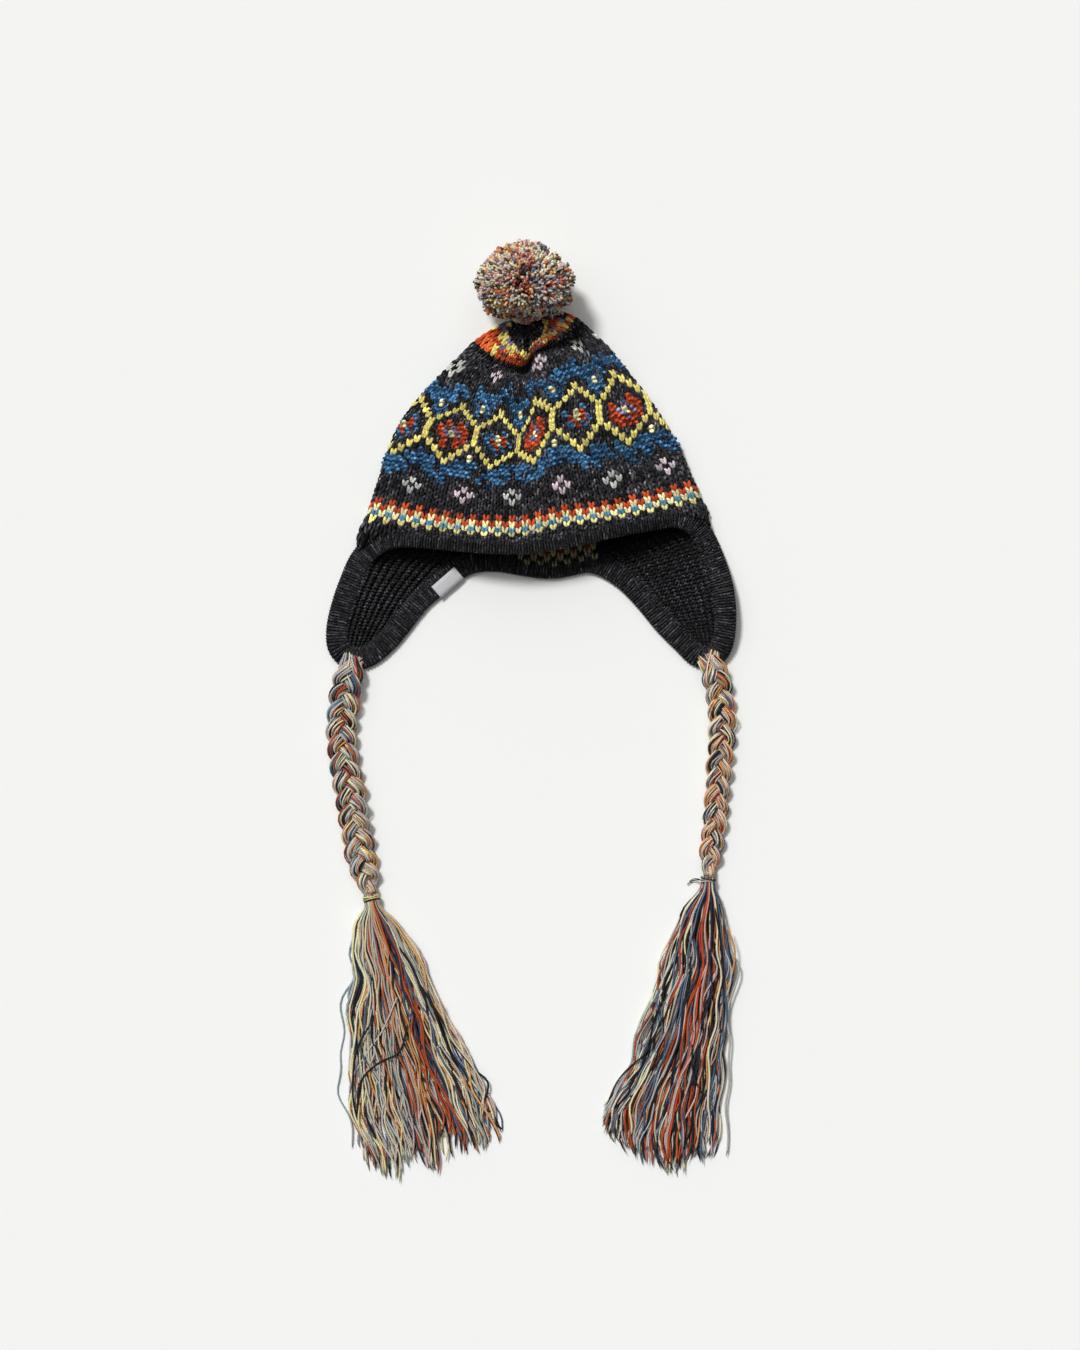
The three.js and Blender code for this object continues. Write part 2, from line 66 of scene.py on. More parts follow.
COURSE_COLUMNS = ("course", "xl", "yl", "xr", "yr", "dip", "step", "height", "side", "pleat")
COURSES = np.array([
    (0, -123.5, -48, 127, -36, 20, 6, 38, 5, 0),
    (4, -118, -31, 120.5, -19, 19, 8, 37, 6, 0.5),
    (8, -113, -15, 113.5, -3, 18, 11, 36.5, 7, 2),
    (12, -107.5, 3, 105.5, 13.5, 18, 14, 36, 8, 4),
    (16, -100, 19, 96, 29, 18, 16, 35, 9, 6),
    (20, -91, 34, 85.5, 44, 17, 17, 33.5, 9, 8),
    (24, -80, 46.5, 73, 60, 17, 16, 32, 9, 9),
    (28, -67.5, 59.5, 60.5, 76, 18, 15, 31, 9, 10),
    (32, -55, 72, 47.5, 90, 21, 12, 29, 9, 10),
    (36, -40, 85.5, 34, 102, 24, 8, 27, 9, 9),
    (39, -29.5, 93, 23, 106.5, 24, 5, 24, 9, 7),
    (42, -20.5, 97.5, 12.5, 105.5, 16, 2, 21, 9, 4),
    (45, -10.5, 99.5, 2.5, 101, 5, 0, 17, 8.5, 0),
])

# Where the pattern lies on the crown. Rows are pattern courses and columns are stitch columns; a
# share below 1 is on the front, and from 1 to 2 it runs back across the back panel. The second
# table gives the course of the crown's own surface, because the fold draws the pattern up and down.
COLUMN_MARKS = np.array([4, 8, 16, 24, 32, 40, 48, 52])
PATTERN_COURSES = np.array([0, 7, 13, 18.5, 24, 30, 34.5, 38, 40, 45])
COLUMN_SHARES = np.array([
    (0.012, 0.095, 0.262, 0.425, 0.588, 0.752, 0.922, 1.007),
    (0.012, 0.099, 0.270, 0.426, 0.583, 0.744, 0.924, 1.010),
    (0.013, 0.105, 0.277, 0.426, 0.577, 0.743, 0.914, 0.997),
    (0.000, 0.092, 0.286, 0.453, 0.574, 0.759, 0.973, 1.060),
    (0.014, 0.103, 0.289, 0.459, 0.603, 0.803, 1.020, 1.090),
    (-0.070, 0.020, 0.296, 0.456, 0.552, 0.850, 1.000, 1.080),
    (-0.050, 0.040, 0.300, 0.460, 0.570, 0.850, 1.000, 1.080),
    (-0.040, 0.050, 0.300, 0.470, 0.590, 0.850, 1.000, 1.080),
    (-0.030, 0.060, 0.300, 0.480, 0.620, 0.850, 1.000, 1.080),
    (-0.030, 0.060, 0.300, 0.490, 0.650, 0.850, 1.000, 1.080),
])
SURFACE_COURSES = np.array([
    (-0.2, -0.3, -0.5, -0.5, -0.5, -0.3, -0.1, 0.0),
    (7.0, 6.9, 6.15, 6.4, 5.6, 5.8, 6.75, 6.9),
    (11.5, 11.55, 11.3, 11.25, 10.9, 10.85, 12.0, 12.4),
    (17.1, 17.1, 16.95, 15.6, 15.7, 17.0, 18.1, 18.3),
    (21.6, 22.0, 21.9, 20.5, 20.8, 23.0, 24.4, 24.4),
    (28.8, 29.3, 30.5, 31.0, 27.6, 30.9, 31.2, 31.0),
    (35.0, 35.0, 34.6, 34.3, 34.4, 35.1, 35.8, 35.8),
    (39.2, 39.1, 37.9, 36.2, 36.4, 39.2, 40.9, 40.9),
    (42.5, 42.3, 40.2, 37.3, 37.6, 41.2, 43.2, 43.2),
    (45.0, 45.0, 44.6, 43.8, 43.8, 44.8, 45.0, 45.0),
])

BRIM_LINE = np.array([
    (-100, -62.5), (-77.5, -63.5), (-53.5, -66), (-25, -68), (-6.5, -68), (17.5, -65),
    (42.5, -60), (66.5, -54.5), (92.5, -49.5), (107.5, -47)])
RIGHT_FLAP_LINE = np.array([
    (121, -52), (130, -64), (136.5, -79), (144, -102), (146, -120), (144.5, -134),
    (140.5, -146.5), (133, -152.2), (124, -150), (114, -140.5), (100, -126.5), (85.5, -109),
    (71, -94), (56, -84)])
NAPE_LINE = np.array([
    (42.5, -80), (31, -82), (17.5, -84.5), (8.5, -84.5), (-6, -82.5), (-24.5, -79.5),
    (-41.5, -80)])
LEFT_FLAP_LINE = np.array([
    (-54.5, -85), (-73.5, -100), (-84, -109.5), (-108, -139), (-123.5, -151.2),
    (-135.5, -152.2), (-144, -145), (-145.5, -132), (-142.5, -116), (-136, -96.5), (-127.5, -78),
    (-115, -67)])
BACK_EDGE = np.array([
    (-123.5, -67), (-115, -70), (-84, -76), (-41.5, -80), (-6, -82.5), (17.5, -84.5),
    (42.5, -80), (56, -78), (88, -66), (118, -55), (127, -52)])
CORNER_FLARES = (8.75, 8.05)     # how far the sides run out to the binding's corners, left and right
EDGE_SHARE = 0.12                # share of the width over which the side edges blend in
BACK_DROP_COURSES = 24           # courses over which the back panel's lower edge eases in
COURSES_BELOW = 3                # courses from the brim's line down into the binding
BAND_CORNER_HEIGHT = 4.2         # of the binding's middle where it turns from brim to flap
BRIM_TILT = 0.6                  # radians that the binding leans where the brim is highest
EDGE_LIFT = {"left": 0.0, "right": 8.0}      # the right flap's outer edge curls up off the floor
BAND_RIBS = 380                  # real ribs are 1.7 mm apart, drawn 2.7 mm apart so that they show

# Braids: the middle line on the floor, the three places where the strands leave the flap, and the
# braid's size along the line against a full one
LEFT_BRAID = {
    "line": np.array([
        (-136, -153.5), (-136, -159), (-136.5, -166), (-139.5, -179), (-141.5, -192),
        (-142, -205.5), (-141, -219), (-139.5, -232.5), (-137, -246), (-134.5, -259.5),
        (-132.5, -273), (-130, -286), (-127.5, -299), (-124.5, -312), (-122, -322),
        (-120.5, -329)]),
    "lead": ((-133.5, -149), (-126.3, -151.5), (-138, -147)),
    "scale": (1, 1, 1, 0.95),
    "tie_radius": 6.4,
    "tie_length": 6.0,
}
RIGHT_BRAID = {
    "line": np.array([
        (132.5, -153.5), (135, -159), (139, -168), (141.5, -183), (142.5, -196),
        (142.5, -208.5), (141.5, -221), (140.5, -235), (139.5, -247.5), (138.5, -260),
        (137.5, -273), (136, -286), (134.5, -299), (133.5, -308), (132.5, -316)]),
    "lead": ((131.5, -147), (138.4, -141.5), (124.6, -151)),
    "scale": (0.92, 0.88, 0.8, 0.74),
    "tie_radius": 5.8,
    "tie_length": 4.8,
}
LEAD_LENGTH = 14.0               # over this the strands come together from their holes in the knit
FLAT_BEFORE_EDGE = 10.0          # the braid lies over the binding for this length
DOWN_TO_FLOOR = 18.0             # and comes down to the floor over this one
RISE_OVER_BAND = 4.65
TAPER_TO_TIE = 18.0              # the strands draw together over this before the tie

# Tassels: a fan row is y and the left and right edge there; tips are the ends of the yarns from left
# to right, zones the share up to which each colour mix goes, and strays single yarns laid one by one
LEFT_TASSEL = {
    "fan": np.array([
        (-336.5, -124.5, -113.5), (-352, -133, -98.5), (-372, -133.5, -87), (-392, -131, -75),
        (-415, -134, -65), (-440, -136, -55), (-464, -136, -40), (-488, -133, -29.5),
        (-510, -129.5, -21), (-546, -120, -17)]),
    "tips": (-531, -541, -546, -533, -524, -541, -529, -519, -527, -516, -519, -503),
    "crowding": 1.15,            # above 1 the yarns crowd to the left of the fan, below to the right
    "zones": ((0.4, "pale"), (0.68, "mixed"), (0.9, "warm"), (1.0, "mixed")),
    "strays": (
        ("charcoal", ((-84, -395), (-70, -418), (-57, -441), (-43, -460), (-33, -469), (-33, -478),
                      (-37, -489), (-30, -499), (-21, -506))),
        ("charcoal", ((-78, -400), (-66, -434), (-57, -456), (-47, -472), (-36, -487), (-28, -495))),
        ("ecru", ((-70, -405), (-60, -436), (-44, -458), (-35, -475), (-38, -492), (-31, -516))),
        ("charcoal", ((-92, -425), (-99, -447), (-114, -455), (-127, -468), (-130, -489),
                      (-128, -508), (-120, -526))),
        ("charcoal", ((-120, -425), (-130, -444), (-133.5, -466), (-133, -486), (-128, -505),
                      (-119, -528))),
        ("silver", ((-100, -405), (-112, -432), (-124, -449), (-136, -474), (-132, -490))),
    ),
}
RIGHT_TASSEL = {
    "fan": np.array([
        (-322, 127.5, 138), (-340, 114.5, 143), (-360, 105, 146), (-382, 99, 149),
        (-404, 91, 150), (-428, 84, 147), (-453, 75.5, 144), (-471, 64, 142),
        (-489, 54.5, 139.5), (-511, 49, 138.5), (-540, 60, 136)]),
    "tips": (-499, -509, -521, -526, -522, -535, -538, -541, -535, -529, -531, -524),
    "crowding": 0.9,
    "zones": ((0.2, "mixed"), (0.88, "deep"), (1.0, "pale")),
    "strays": (
        ("charcoal", ((98, -420), (86, -447), (74, -458), (64, -470), (55, -492))),
        ("charcoal", ((120, -440), (121, -462), (128, -478), (139, -484), (141, -498))),
        ("amber", ((146, -352), (152, -372), (149, -392), (141, -414), (140, -440))),
        ("charcoal", ((137, -338), (142, -370), (144, -405), (141, -436), (145, -462), (138, -496))),
    ),
}

# Camera: straight over the hat, as far away as flat-lay pictures are taken
CAMERA_DISTANCE = 2600.0
FRAME_HEIGHT = 1350 * 0.75       # the picture's height on the floor, in millimetres
CAMERA_AIM = (6.4, -165.0)       # the picture's middle on the floor
SENSOR = 36.0

# One seed for each thing that is drawn at random; left and right are those of the braids' first
# strands
SEEDS = {"chart": 7, "crown": 8, "binding": 5, "flap": 11, "pompom": 21, "left": 40, "right": 50,
         "left tassel": 70, "right tassel": 71}

# Yarn colours as sRGB
YARN = {
    "charcoal": "#29282B",
    "yellow": "#E6D87C",
    "straw": "#E9DF96",
    "cream": "#ECE3AE",
    "ecru": "#E6DDBC",
    "blue": "#4C7EA8",
    "blue_dark": "#345C81",
    "teal": "#5F92AD",
    "red": "#C4502C",
    "orange": "#DE6F3A",
    "rose": "#D8C6CC",
    "grey": "#C4C4BF",
    "mauve": "#7C7494",
    "rust": "#BB5C38",
    "amber": "#DDA062",
    "beige": "#D2B6AC",
    "slate": "#5C718A",
    "navy": "#2A3548",
    "sky": "#A4B1B4",
    "silver": "#C2BFB6",
}


def linear(hex_colour):
    """An sRGB hex colour as linear red, green and blue."""
    parts = [int(hex_colour[i:i + 2], 16) / 255 for i in (1, 3, 5)]
    return [c / 12.92 if c <= 0.04045 else ((c + 0.055) / 1.055) ** 2.4 for c in parts]


def smooth(value):
    """0 below 0 and 1 above 1, with an S-shaped rise of 3t^2 - 2t^3 between."""
    t = np.clip(value, 0, 1)
    return t * t * (3 - 2 * t)


def unit(vectors):
    """Vectors scaled to length 1."""
    return vectors / np.maximum(np.linalg.norm(vectors, axis=-1, keepdims=True), 1e-9)


def ramp(values, share):
    """Evenly spaced values read at shares from 0 to 1, with straight lines between."""
    return np.interp(share, np.linspace(0, 1, len(values)), values)


def distance_along(lines):
    """Distance travelled at each point of a line, or of many lines at once."""
    steps = np.linalg.norm(np.diff(lines, axis=-2), axis=-1)
    start = np.zeros(steps.shape[:-1] + (1,))
    return np.concatenate([start, np.cumsum(steps, axis=-1)], axis=-1)


def box_round(angle, power=0.6):
    """Across and up of a rounded box at an angle: cosine and sine to a power below 1, signs kept."""
    across, up = np.cos(angle), np.sin(angle)
    return np.sign(across) * np.abs(across) ** power, np.sign(up) * np.abs(up) ** power


def grid_of(rows, columns):
    """Two tables that give the row's and the column's value at each point of a grid."""
    return np.meshgrid(rows, columns, indexing="ij")


SPAN_STEPS = 32                  # straight steps in each span of a spline


def spline(points, closed, samples):
    """A smooth line through points, by Catmull-Rom spans whose knots are spaced by the square root
    of the distance between points, read at samples places that are evenly spaced along it."""
    points = np.asarray(points, float)
    if closed:
        padded = np.concatenate([points[-1:], points, points[:2]])
    else:
        padded = np.concatenate([[2 * points[0] - points[1]], points, [2 * points[-1] - points[-2]]])
    p0, p1, p2, p3 = padded[:-3], padded[1:-2], padded[2:-1], padded[3:]
    gaps = [np.sqrt(np.maximum(np.linalg.norm(b - a, axis=1), 1e-6))[:, None]
            for a, b in ((p0, p1), (p1, p2), (p2, p3))]
    d0, d1, d2 = gaps
    m1 = ((p1 - p0) / d0 - (p2 - p0) / (d0 + d1) + (p2 - p1) / d1) * d1
    m2 = ((p2 - p1) / d1 - (p3 - p1) / (d1 + d2) + (p3 - p2) / d2) * d1
    t = np.linspace(0, 1, SPAN_STEPS + 1)[None, :-1, None]
    h = [a[:, None] for a in (p1, m1, p2, m2)]
    fine = (h[0] * (2 * t**3 - 3 * t**2 + 1) + h[1] * (t**3 - 2 * t**2 + t)
            + h[2] * (3 * t**2 - 2 * t**3) + h[3] * (t**3 - t**2)).reshape(-1, points.shape[1])
    last = points[:1] if closed else points[-1:]
    fine = np.concatenate([fine, last])
    length = distance_along(fine)
    places = np.linspace(0, length[-1], samples + 1)[:-1] if closed \
        else np.linspace(0, length[-1], samples)
    return np.stack([np.interp(places, length, fine[:, k]) for k in range(points.shape[1])], axis=1)


# Meshes

def make_mesh(name, points_mm, quads, triangles=None, colours=None, uvs=None):
    """A mesh object at the origin from points in millimetres, four-cornered faces, three-cornered
    faces, a colour for each point and a pair of pattern coordinates in millimetres for each point."""
    quads = np.asarray(quads, np.int32).reshape(-1, 4)
    triangles = np.zeros((0, 3), np.int32) if triangles is None else np.asarray(triangles, np.int32)
    mesh = bpy.data.meshes.new(name)
    mesh.vertices.add(len(points_mm))
    mesh.vertices.foreach_set("co", (np.asarray(points_mm, float) * MM).ravel())
    corners = np.concatenate([quads.ravel(), triangles.ravel()])
    totals = np.concatenate([np.full(len(quads), 4), np.full(len(triangles), 3)]).astype(np.int32)
    starts = np.concatenate([[0], np.cumsum(totals)[:-1]]).astype(np.int32)
    mesh.loops.add(len(corners))
    mesh.loops.foreach_set("vertex_index", corners)
    mesh.polygons.add(len(totals))
    mesh.polygons.foreach_set("loop_start", starts)
    mesh.polygons.foreach_set("loop_total", totals)
    mesh.polygons.foreach_set("use_smooth", np.ones(len(totals), bool))
    if colours is not None:
        layer = mesh.color_attributes.new("yarn", "FLOAT_COLOR", "POINT")
        rgba = np.ones((len(points_mm), 4))
        rgba[:, :3] = colours
        layer.data.foreach_set("color", rgba.ravel())
    if uvs is not None:
        layer = mesh.uv_layers.new(name="pattern")
        layer.data.foreach_set("uv", np.asarray(uvs, float)[corners].ravel())
    mesh.update(calc_edges=True)
    mesh.validate()
    piece = bpy.data.objects.new(name, mesh)
    bpy.context.scene.collection.objects.link(piece)
    return piece


def grid_faces(rows, columns, close_rows=False, close_columns=False):
    """The four-cornered faces of a grid of points numbered row by row."""
    i = np.arange(rows if close_rows else rows - 1)[:, None]
    j = np.arange(columns if close_columns else columns - 1)[None, :]
    a = i * columns + j
    b = i * columns + (j + 1) % columns
    c = ((i + 1) % rows) * columns + (j + 1) % columns
    d = ((i + 1) % rows) * columns + j
    return np.stack([a, b, c, d], axis=-1).reshape(-1, 4)


def tubes(lines, up, half_width, half_height, sides):
    """Closed yarns along many lines at once. lines is (yarn, station, xyz) and up points out of the
    fabric at each station. The first and last stations are the pointed ends, and the others carry
    rings: line + across * half_width * cos(a) + up * half_height * sin(a)."""
    yarns, stations = lines.shape[:2]
    along = unit(np.gradient(lines, axis=1))
    across = unit(np.cross(up, along))
    rise = np.cross(along, across)
    angle = 2 * np.pi * np.arange(sides) / sides
    middle = slice(1, stations - 1)
    rings = (lines[:, middle, None]
             + across[:, middle, None] * (half_width[:, middle, None] * np.cos(angle))[..., None]
             + rise[:, middle, None] * (half_height[:, middle, None] * np.sin(angle))[..., None])
    spans = stations - 2
    per_yarn = spans * sides + 2
    points = np.concatenate([rings.reshape(yarns, -1, 3), lines[:, :1], lines[:, -1:]], axis=1)
    base = (np.arange(yarns) * per_yarn)[:, None, None]
    quads = grid_faces(spans, sides, close_columns=True)[None] + base
    j = np.arange(sides)
    k = (j + 1) % sides
    first = np.stack([np.full(sides, spans * sides), k, j], axis=1)
    end = (spans - 1) * sides
    last = np.stack([np.full(sides, spans * sides + 1), end + j, end + k], axis=1)
    triangles = np.concatenate([first, last])[None] + base
    return points.reshape(-1, 3), quads.reshape(-1, 4), triangles.reshape(-1, 3), per_yarn


def yarn_uvs(lines, sides):
    """Pattern coordinates for tubes: millimetres along each yarn, and turns round it."""
    travelled = distance_along(lines)
    rings = np.repeat(travelled[:, 1:-1, None], sides, axis=2)
    turns = np.broadcast_to(np.arange(sides) / sides, rings.shape)
    body = np.stack([rings, turns], axis=-1).reshape(len(lines), -1, 2)
    ends = np.stack([travelled[:, [0, -1]], np.zeros((len(lines), 2))], axis=-1)
    return np.concatenate([body, ends], axis=1).reshape(-1, 2)


def flecked(colours, per_yarn, depth, seed):
    """A colour for each point of each yarn, made lighter and darker point by point. depth is how
    far, yarn by yarn, on a scale of doublings."""
    tone = 2 ** (seed.normal(0, 1, (len(colours), per_yarn)) * depth[:, None])
    return (colours[:, None] * tone[..., None]).reshape(-1, 3)


def yarn_mesh(name, lines, ups, wide, colours, sides=4, flatness=1.0, fleck_depth=None, seed=None):
    """One mesh of many closed yarns with a colour for each. With a fleck depth for each yarn they
    are flecked, and kept off the floor. flatness is a yarn's height over its width."""
    points, quads, triangles, per_yarn = tubes(lines, ups, wide, wide * flatness, sides)
    if fleck_depth is None:
        shades = np.repeat(colours, per_yarn, axis=0)
    else:
        points[:, 2] = np.maximum(points[:, 2], FLOOR_GAP)
        shades = flecked(colours, per_yarn, fleck_depth, seed)
    return make_mesh(name, points, quads, triangles, shades, yarn_uvs(lines, sides))


def finish_piece(piece, material, slot, *replaced):
    """Gives a piece its material, attaches it to what it rides on and hides the CAD parts that it
    replaces; slot is not used.
    """
    piece.data.materials.append(material)
    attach(piece, BODY)
    if replaced:
        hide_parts(*replaced)
    return piece


# Materials

def set_inputs(tree, node, settings):
    """Sets a node's properties or inputs, by name or number. An input whose value is another
    node's output is linked to it."""
    for key, value in settings.items():
        if isinstance(value, bpy.types.NodeSocket):
            tree.links.new(value, node.inputs[key])
        elif isinstance(key, str) and hasattr(node, key):
            setattr(node, key, value)
        else:
            node.inputs[key].default_value = value


def add_node(tree, kind, settings):
    """Adds a shader node with its settings, and gives its outputs."""
    node = tree.nodes.new("ShaderNode" + kind)
    set_inputs(tree, node, settings)
    return node.outputs


def add_maths(tree, operation, *values):
    """Adds a maths node with its values in order, and gives its one output."""
    return add_node(tree, "Math", {"operation": operation, **dict(enumerate(values))})[0]


def wave_of(tree, turns):
    """Sine of a number of whole turns."""
    return add_maths(tree, "SINE", add_maths(tree, "MULTIPLY", turns, 2 * math.pi))


def object_noise(tree, size_mm, settings):
    """Noise of one grain size in millimetres, fixed to the object."""
    place = add_node(tree, "TexCoord", {})["Object"]
    return add_node(tree, "TexNoise", {"Scale": 1 / (size_mm * MM), "Vector": place, **settings})["Fac"]


def pattern_coordinates(tree):
    """The two pattern coordinates of a mesh."""
    pattern = add_node(tree, "UVMap", {"uv_map": "pattern"})["UV"]
    parts = add_node(tree, "SeparateXYZ", {"Vector": pattern})
    return parts["X"], parts["Y"]


def map_range(tree, value, low, high, new_low, new_high):
    """A value mapped from one range to another, and kept inside it."""
    return add_node(tree, "MapRange", {"Value": value, "From Min": low, "From Max": high,
                                       "To Min": new_low, "To Max": new_high})[0]


def blend_colours(tree, factor, dark, light, low=0.0, high=1.0):
    """A blend of two colours as the factor goes from low to high."""
    node = tree.nodes.new("ShaderNodeValToRGB")
    set_inputs(tree, node, {"Fac": factor})
    for element, colour, position in zip(node.color_ramp.elements, (dark, light), (low, high)):
        element.position = position
        element.color = (*linear(colour), 1)
    return node.outputs[0]


def new_material(name):
    """An empty node material, its tree and its shader."""
    material = bpy.data.materials.new(name)
    material.use_nodes = True
    tree = material.node_tree
    tree.nodes.clear()
    shader = tree.nodes.new("ShaderNodeBsdfPrincipled")
    set_inputs(tree, shader, {"Roughness": 0.92, "IOR": 1.5})
    add_node(tree, "OutputMaterial", {"Surface": shader.outputs[0]})
    return material, tree, shader


def finish_shader(tree, shader, height, strength, depth_mm, settings):
    """Gives a shader its bump, from a height and its depth in millimetres, and its own settings."""
    bump = add_node(tree, "Bump", {"Strength": strength, "Distance": depth_mm * MM, "Height": height})
    set_inputs(tree, shader, {"Normal": bump[0], **settings})


def wool_yarn(name, sheen, heather, fleck_mm, ply_mm, ply_depth):
    """Plied wool-blend yarn, dyed in the fibre and spun soft: each ply shows as a slanting groove,
    paler and darker fibres make it slightly uneven, and loose fibres scatter light at the edges."""
    material, tree, shader = new_material(name)
    dye = add_node(tree, "Attribute", {"attribute_name": "yarn"})["Color"]
    fibres = object_noise(tree, fleck_mm, {"Detail": 3.0})
    tone = map_range(tree, fibres, 0.3, 0.7, 1 - heather, 1 + heather)
    along, around = pattern_coordinates(tree)
    plies = add_maths(tree, "MULTIPLY_ADD", around, 2.0, add_maths(tree, "DIVIDE", along, ply_mm))
    # painted shade: the ply grooves also darken the base colour, besides the bump
    groove = map_range(tree, wave_of(tree, plies), -1.0, 1.0, 0.72, 1.08)
    shade = add_maths(tree, "MULTIPLY", tone, groove)
    colour = add_node(tree, "VectorMath", {"operation": "SCALE", 0: dye, "Scale": shade})[0]
    finish_shader(tree, shader, shade, 0.7, ply_depth, {
        "Base Color": colour, "Sheen Weight": sheen, "Sheen Roughness": 0.45, "Roughness": 0.95,
        "Specular IOR Level": 0.1})
    return material


def marl_fabric(name, dark, light, stitch_mm, depth):
    """Fine marl knit from dark and paler grey fibres spun together: small V-shaped stitches that
    only just show, flecked all over, with no gloss."""
    material, tree, shader = new_material(name)
    flecks = object_noise(tree, 1.3, {"Detail": 4.0, "Roughness": 0.7})
    across, up = pattern_coordinates(tree)
    lean = add_maths(tree, "PINGPONG", add_maths(tree, "DIVIDE", across, stitch_mm), 0.5)
    course = add_maths(tree, "DIVIDE", up, stitch_mm * 0.8)
    wave = wave_of(tree, add_maths(tree, "SUBTRACT", course, lean))
    height = add_maths(tree, "MULTIPLY_ADD", wave, 0.35, flecks)
    finish_shader(tree, shader, height, 0.8, depth, {
        "Base Color": blend_colours(tree, flecks, dark, light, 0.42, 0.72), "Sheen Weight": 0.02,
        "Sheen Roughness": 0.5, "Specular IOR Level": 0.06})
    return material


def label_tape():
    """Polyester satin ribbon, woven white: faint threads across, a soft gloss."""
    material, tree, shader = new_material("woven satin tape")
    pattern = add_node(tree, "UVMap", {"uv_map": "pattern"})["UV"]
    threads = add_node(tree, "TexWave", {"Scale": 1.2, "Distortion": 0.6, "Detail": 2.0,
                                         "bands_direction": "X", "Vector": pattern})["Fac"]
    finish_shader(tree, shader, threads, 0.4, 0.1, {
        "Base Color": blend_colours(tree, threads, "#A8A8AA", "#D9DADC"), "Roughness": 0.55,
        "Sheen Weight": 0.1})
    return material


def paper_floor():
    """Pale matt paper, as under flat-lay pictures: almost white, with a trace of tooth."""
    material, tree, shader = new_material("pale matt paper")
    finish_shader(tree, shader, object_noise(tree, 1 / 0.9, {}), 0.03, 0.05, {
        "Base Color": (*linear("#F4F5F3"), 1), "Roughness": 0.9, "Specular IOR Level": 0.1})
    return material


# Crown surface

def course_value(name, course):
    """One column of the courses' table at any course, eased over two courses so that no row shows
    a kink."""
    column = COURSES[:, COURSE_COLUMNS.index(name)]
    before, here, after = [np.interp(np.clip(course + d, 0, LAST_COURSE), COURSES[:, 0], column)
                           for d in (-1.0, 0.0, 1.0)]
    return 0.25 * before + 0.5 * here + 0.25 * after


def along_line(line, x):
    """y of a line of points at x, with the points sorted by x."""
    order = np.argsort(line[:, 0])
    return np.interp(x, line[order, 0], line[order, 1])


def course_dip(course, share):
    """How far a course lies below the line between its side edges: a half sine, less a step up
    past the pleat that fades to the right edge."""
    step = smooth((share - 0.44) / 0.16) * np.minimum(1, (1 - share) / 0.4)
    return course_value("dip", course) * np.sin(np.pi * share) - course_value("step", course) * step


# The front panel's features: widths are shares of its width, depths millimetres, places and
# lengths courses
ARCH = {"power": 0.8, "fuller_by": 0.28, "over": 12}
PLEAT = {"left": 0.095, "right": 0.042, "depth": 1.55, "ridge_at": 0.11, "ridge": 0.06, "height": 0.3}
CREASE = {"at": 32.6, "bow": 1.6, "width": 2.5, "depth": 10.0, "tip_sags": 3.4, "over": 2.4}
GROOVE = {"at": 4.7, "width": 0.8, "depth": 1.3}


def bell(value, width):
    """1 at 0, falling off to both sides as a Gauss curve."""
    return np.exp(-(value / width) ** 2)


def front_height(course, share):
    """Height of the front panel. An arch of sine to the power 0.8, fuller at the brim, stands over
    the side fold. A pleat sinks into it, wide on the left and steep on the right, with a low ridge
    beyond. The tip sags over a level crease, and a shallow groove runs above the border."""
    power = ARCH["power"] - ARCH["fuller_by"] * (1 - smooth(course / ARCH["over"]))
    arch = np.sin(np.pi * np.clip(share, 0, 1)) ** power
    beyond = share - FOLD_AT
    pleat = bell(beyond, np.where(beyond < 0, PLEAT["left"], PLEAT["right"])) \
        - PLEAT["height"] * bell(beyond - PLEAT["ridge_at"], PLEAT["ridge"])
    side = course_value("side", course)
    inner = smooth((share - 0.06) / 0.2) * smooth((0.96 - share) / 0.2)
    past = course - CREASE["at"] - CREASE["bow"] * np.abs(2 * share - 1)
    sag = inner * (CREASE["tip_sags"] * smooth(past / CREASE["over"])
                   - CREASE["depth"] * bell(past, CREASE["width"]))
    groove = GROOVE["depth"] * arch * bell(course - GROOVE["at"], GROOVE["width"])
    return side + (course_value("height", course) - side) * arch + sag - groove \
        - PLEAT["depth"] * course_value("pleat", course) * pleat


def back_height(course, share):
    """Height of the back panel: flat on the floor, rising to the side fold as a root of sine."""
    rounded = np.minimum(1, 1.3 * np.sqrt(np.sin(np.pi * np.clip(share, 0, 1))))
    return course_value("side", course) * (1 - rounded)


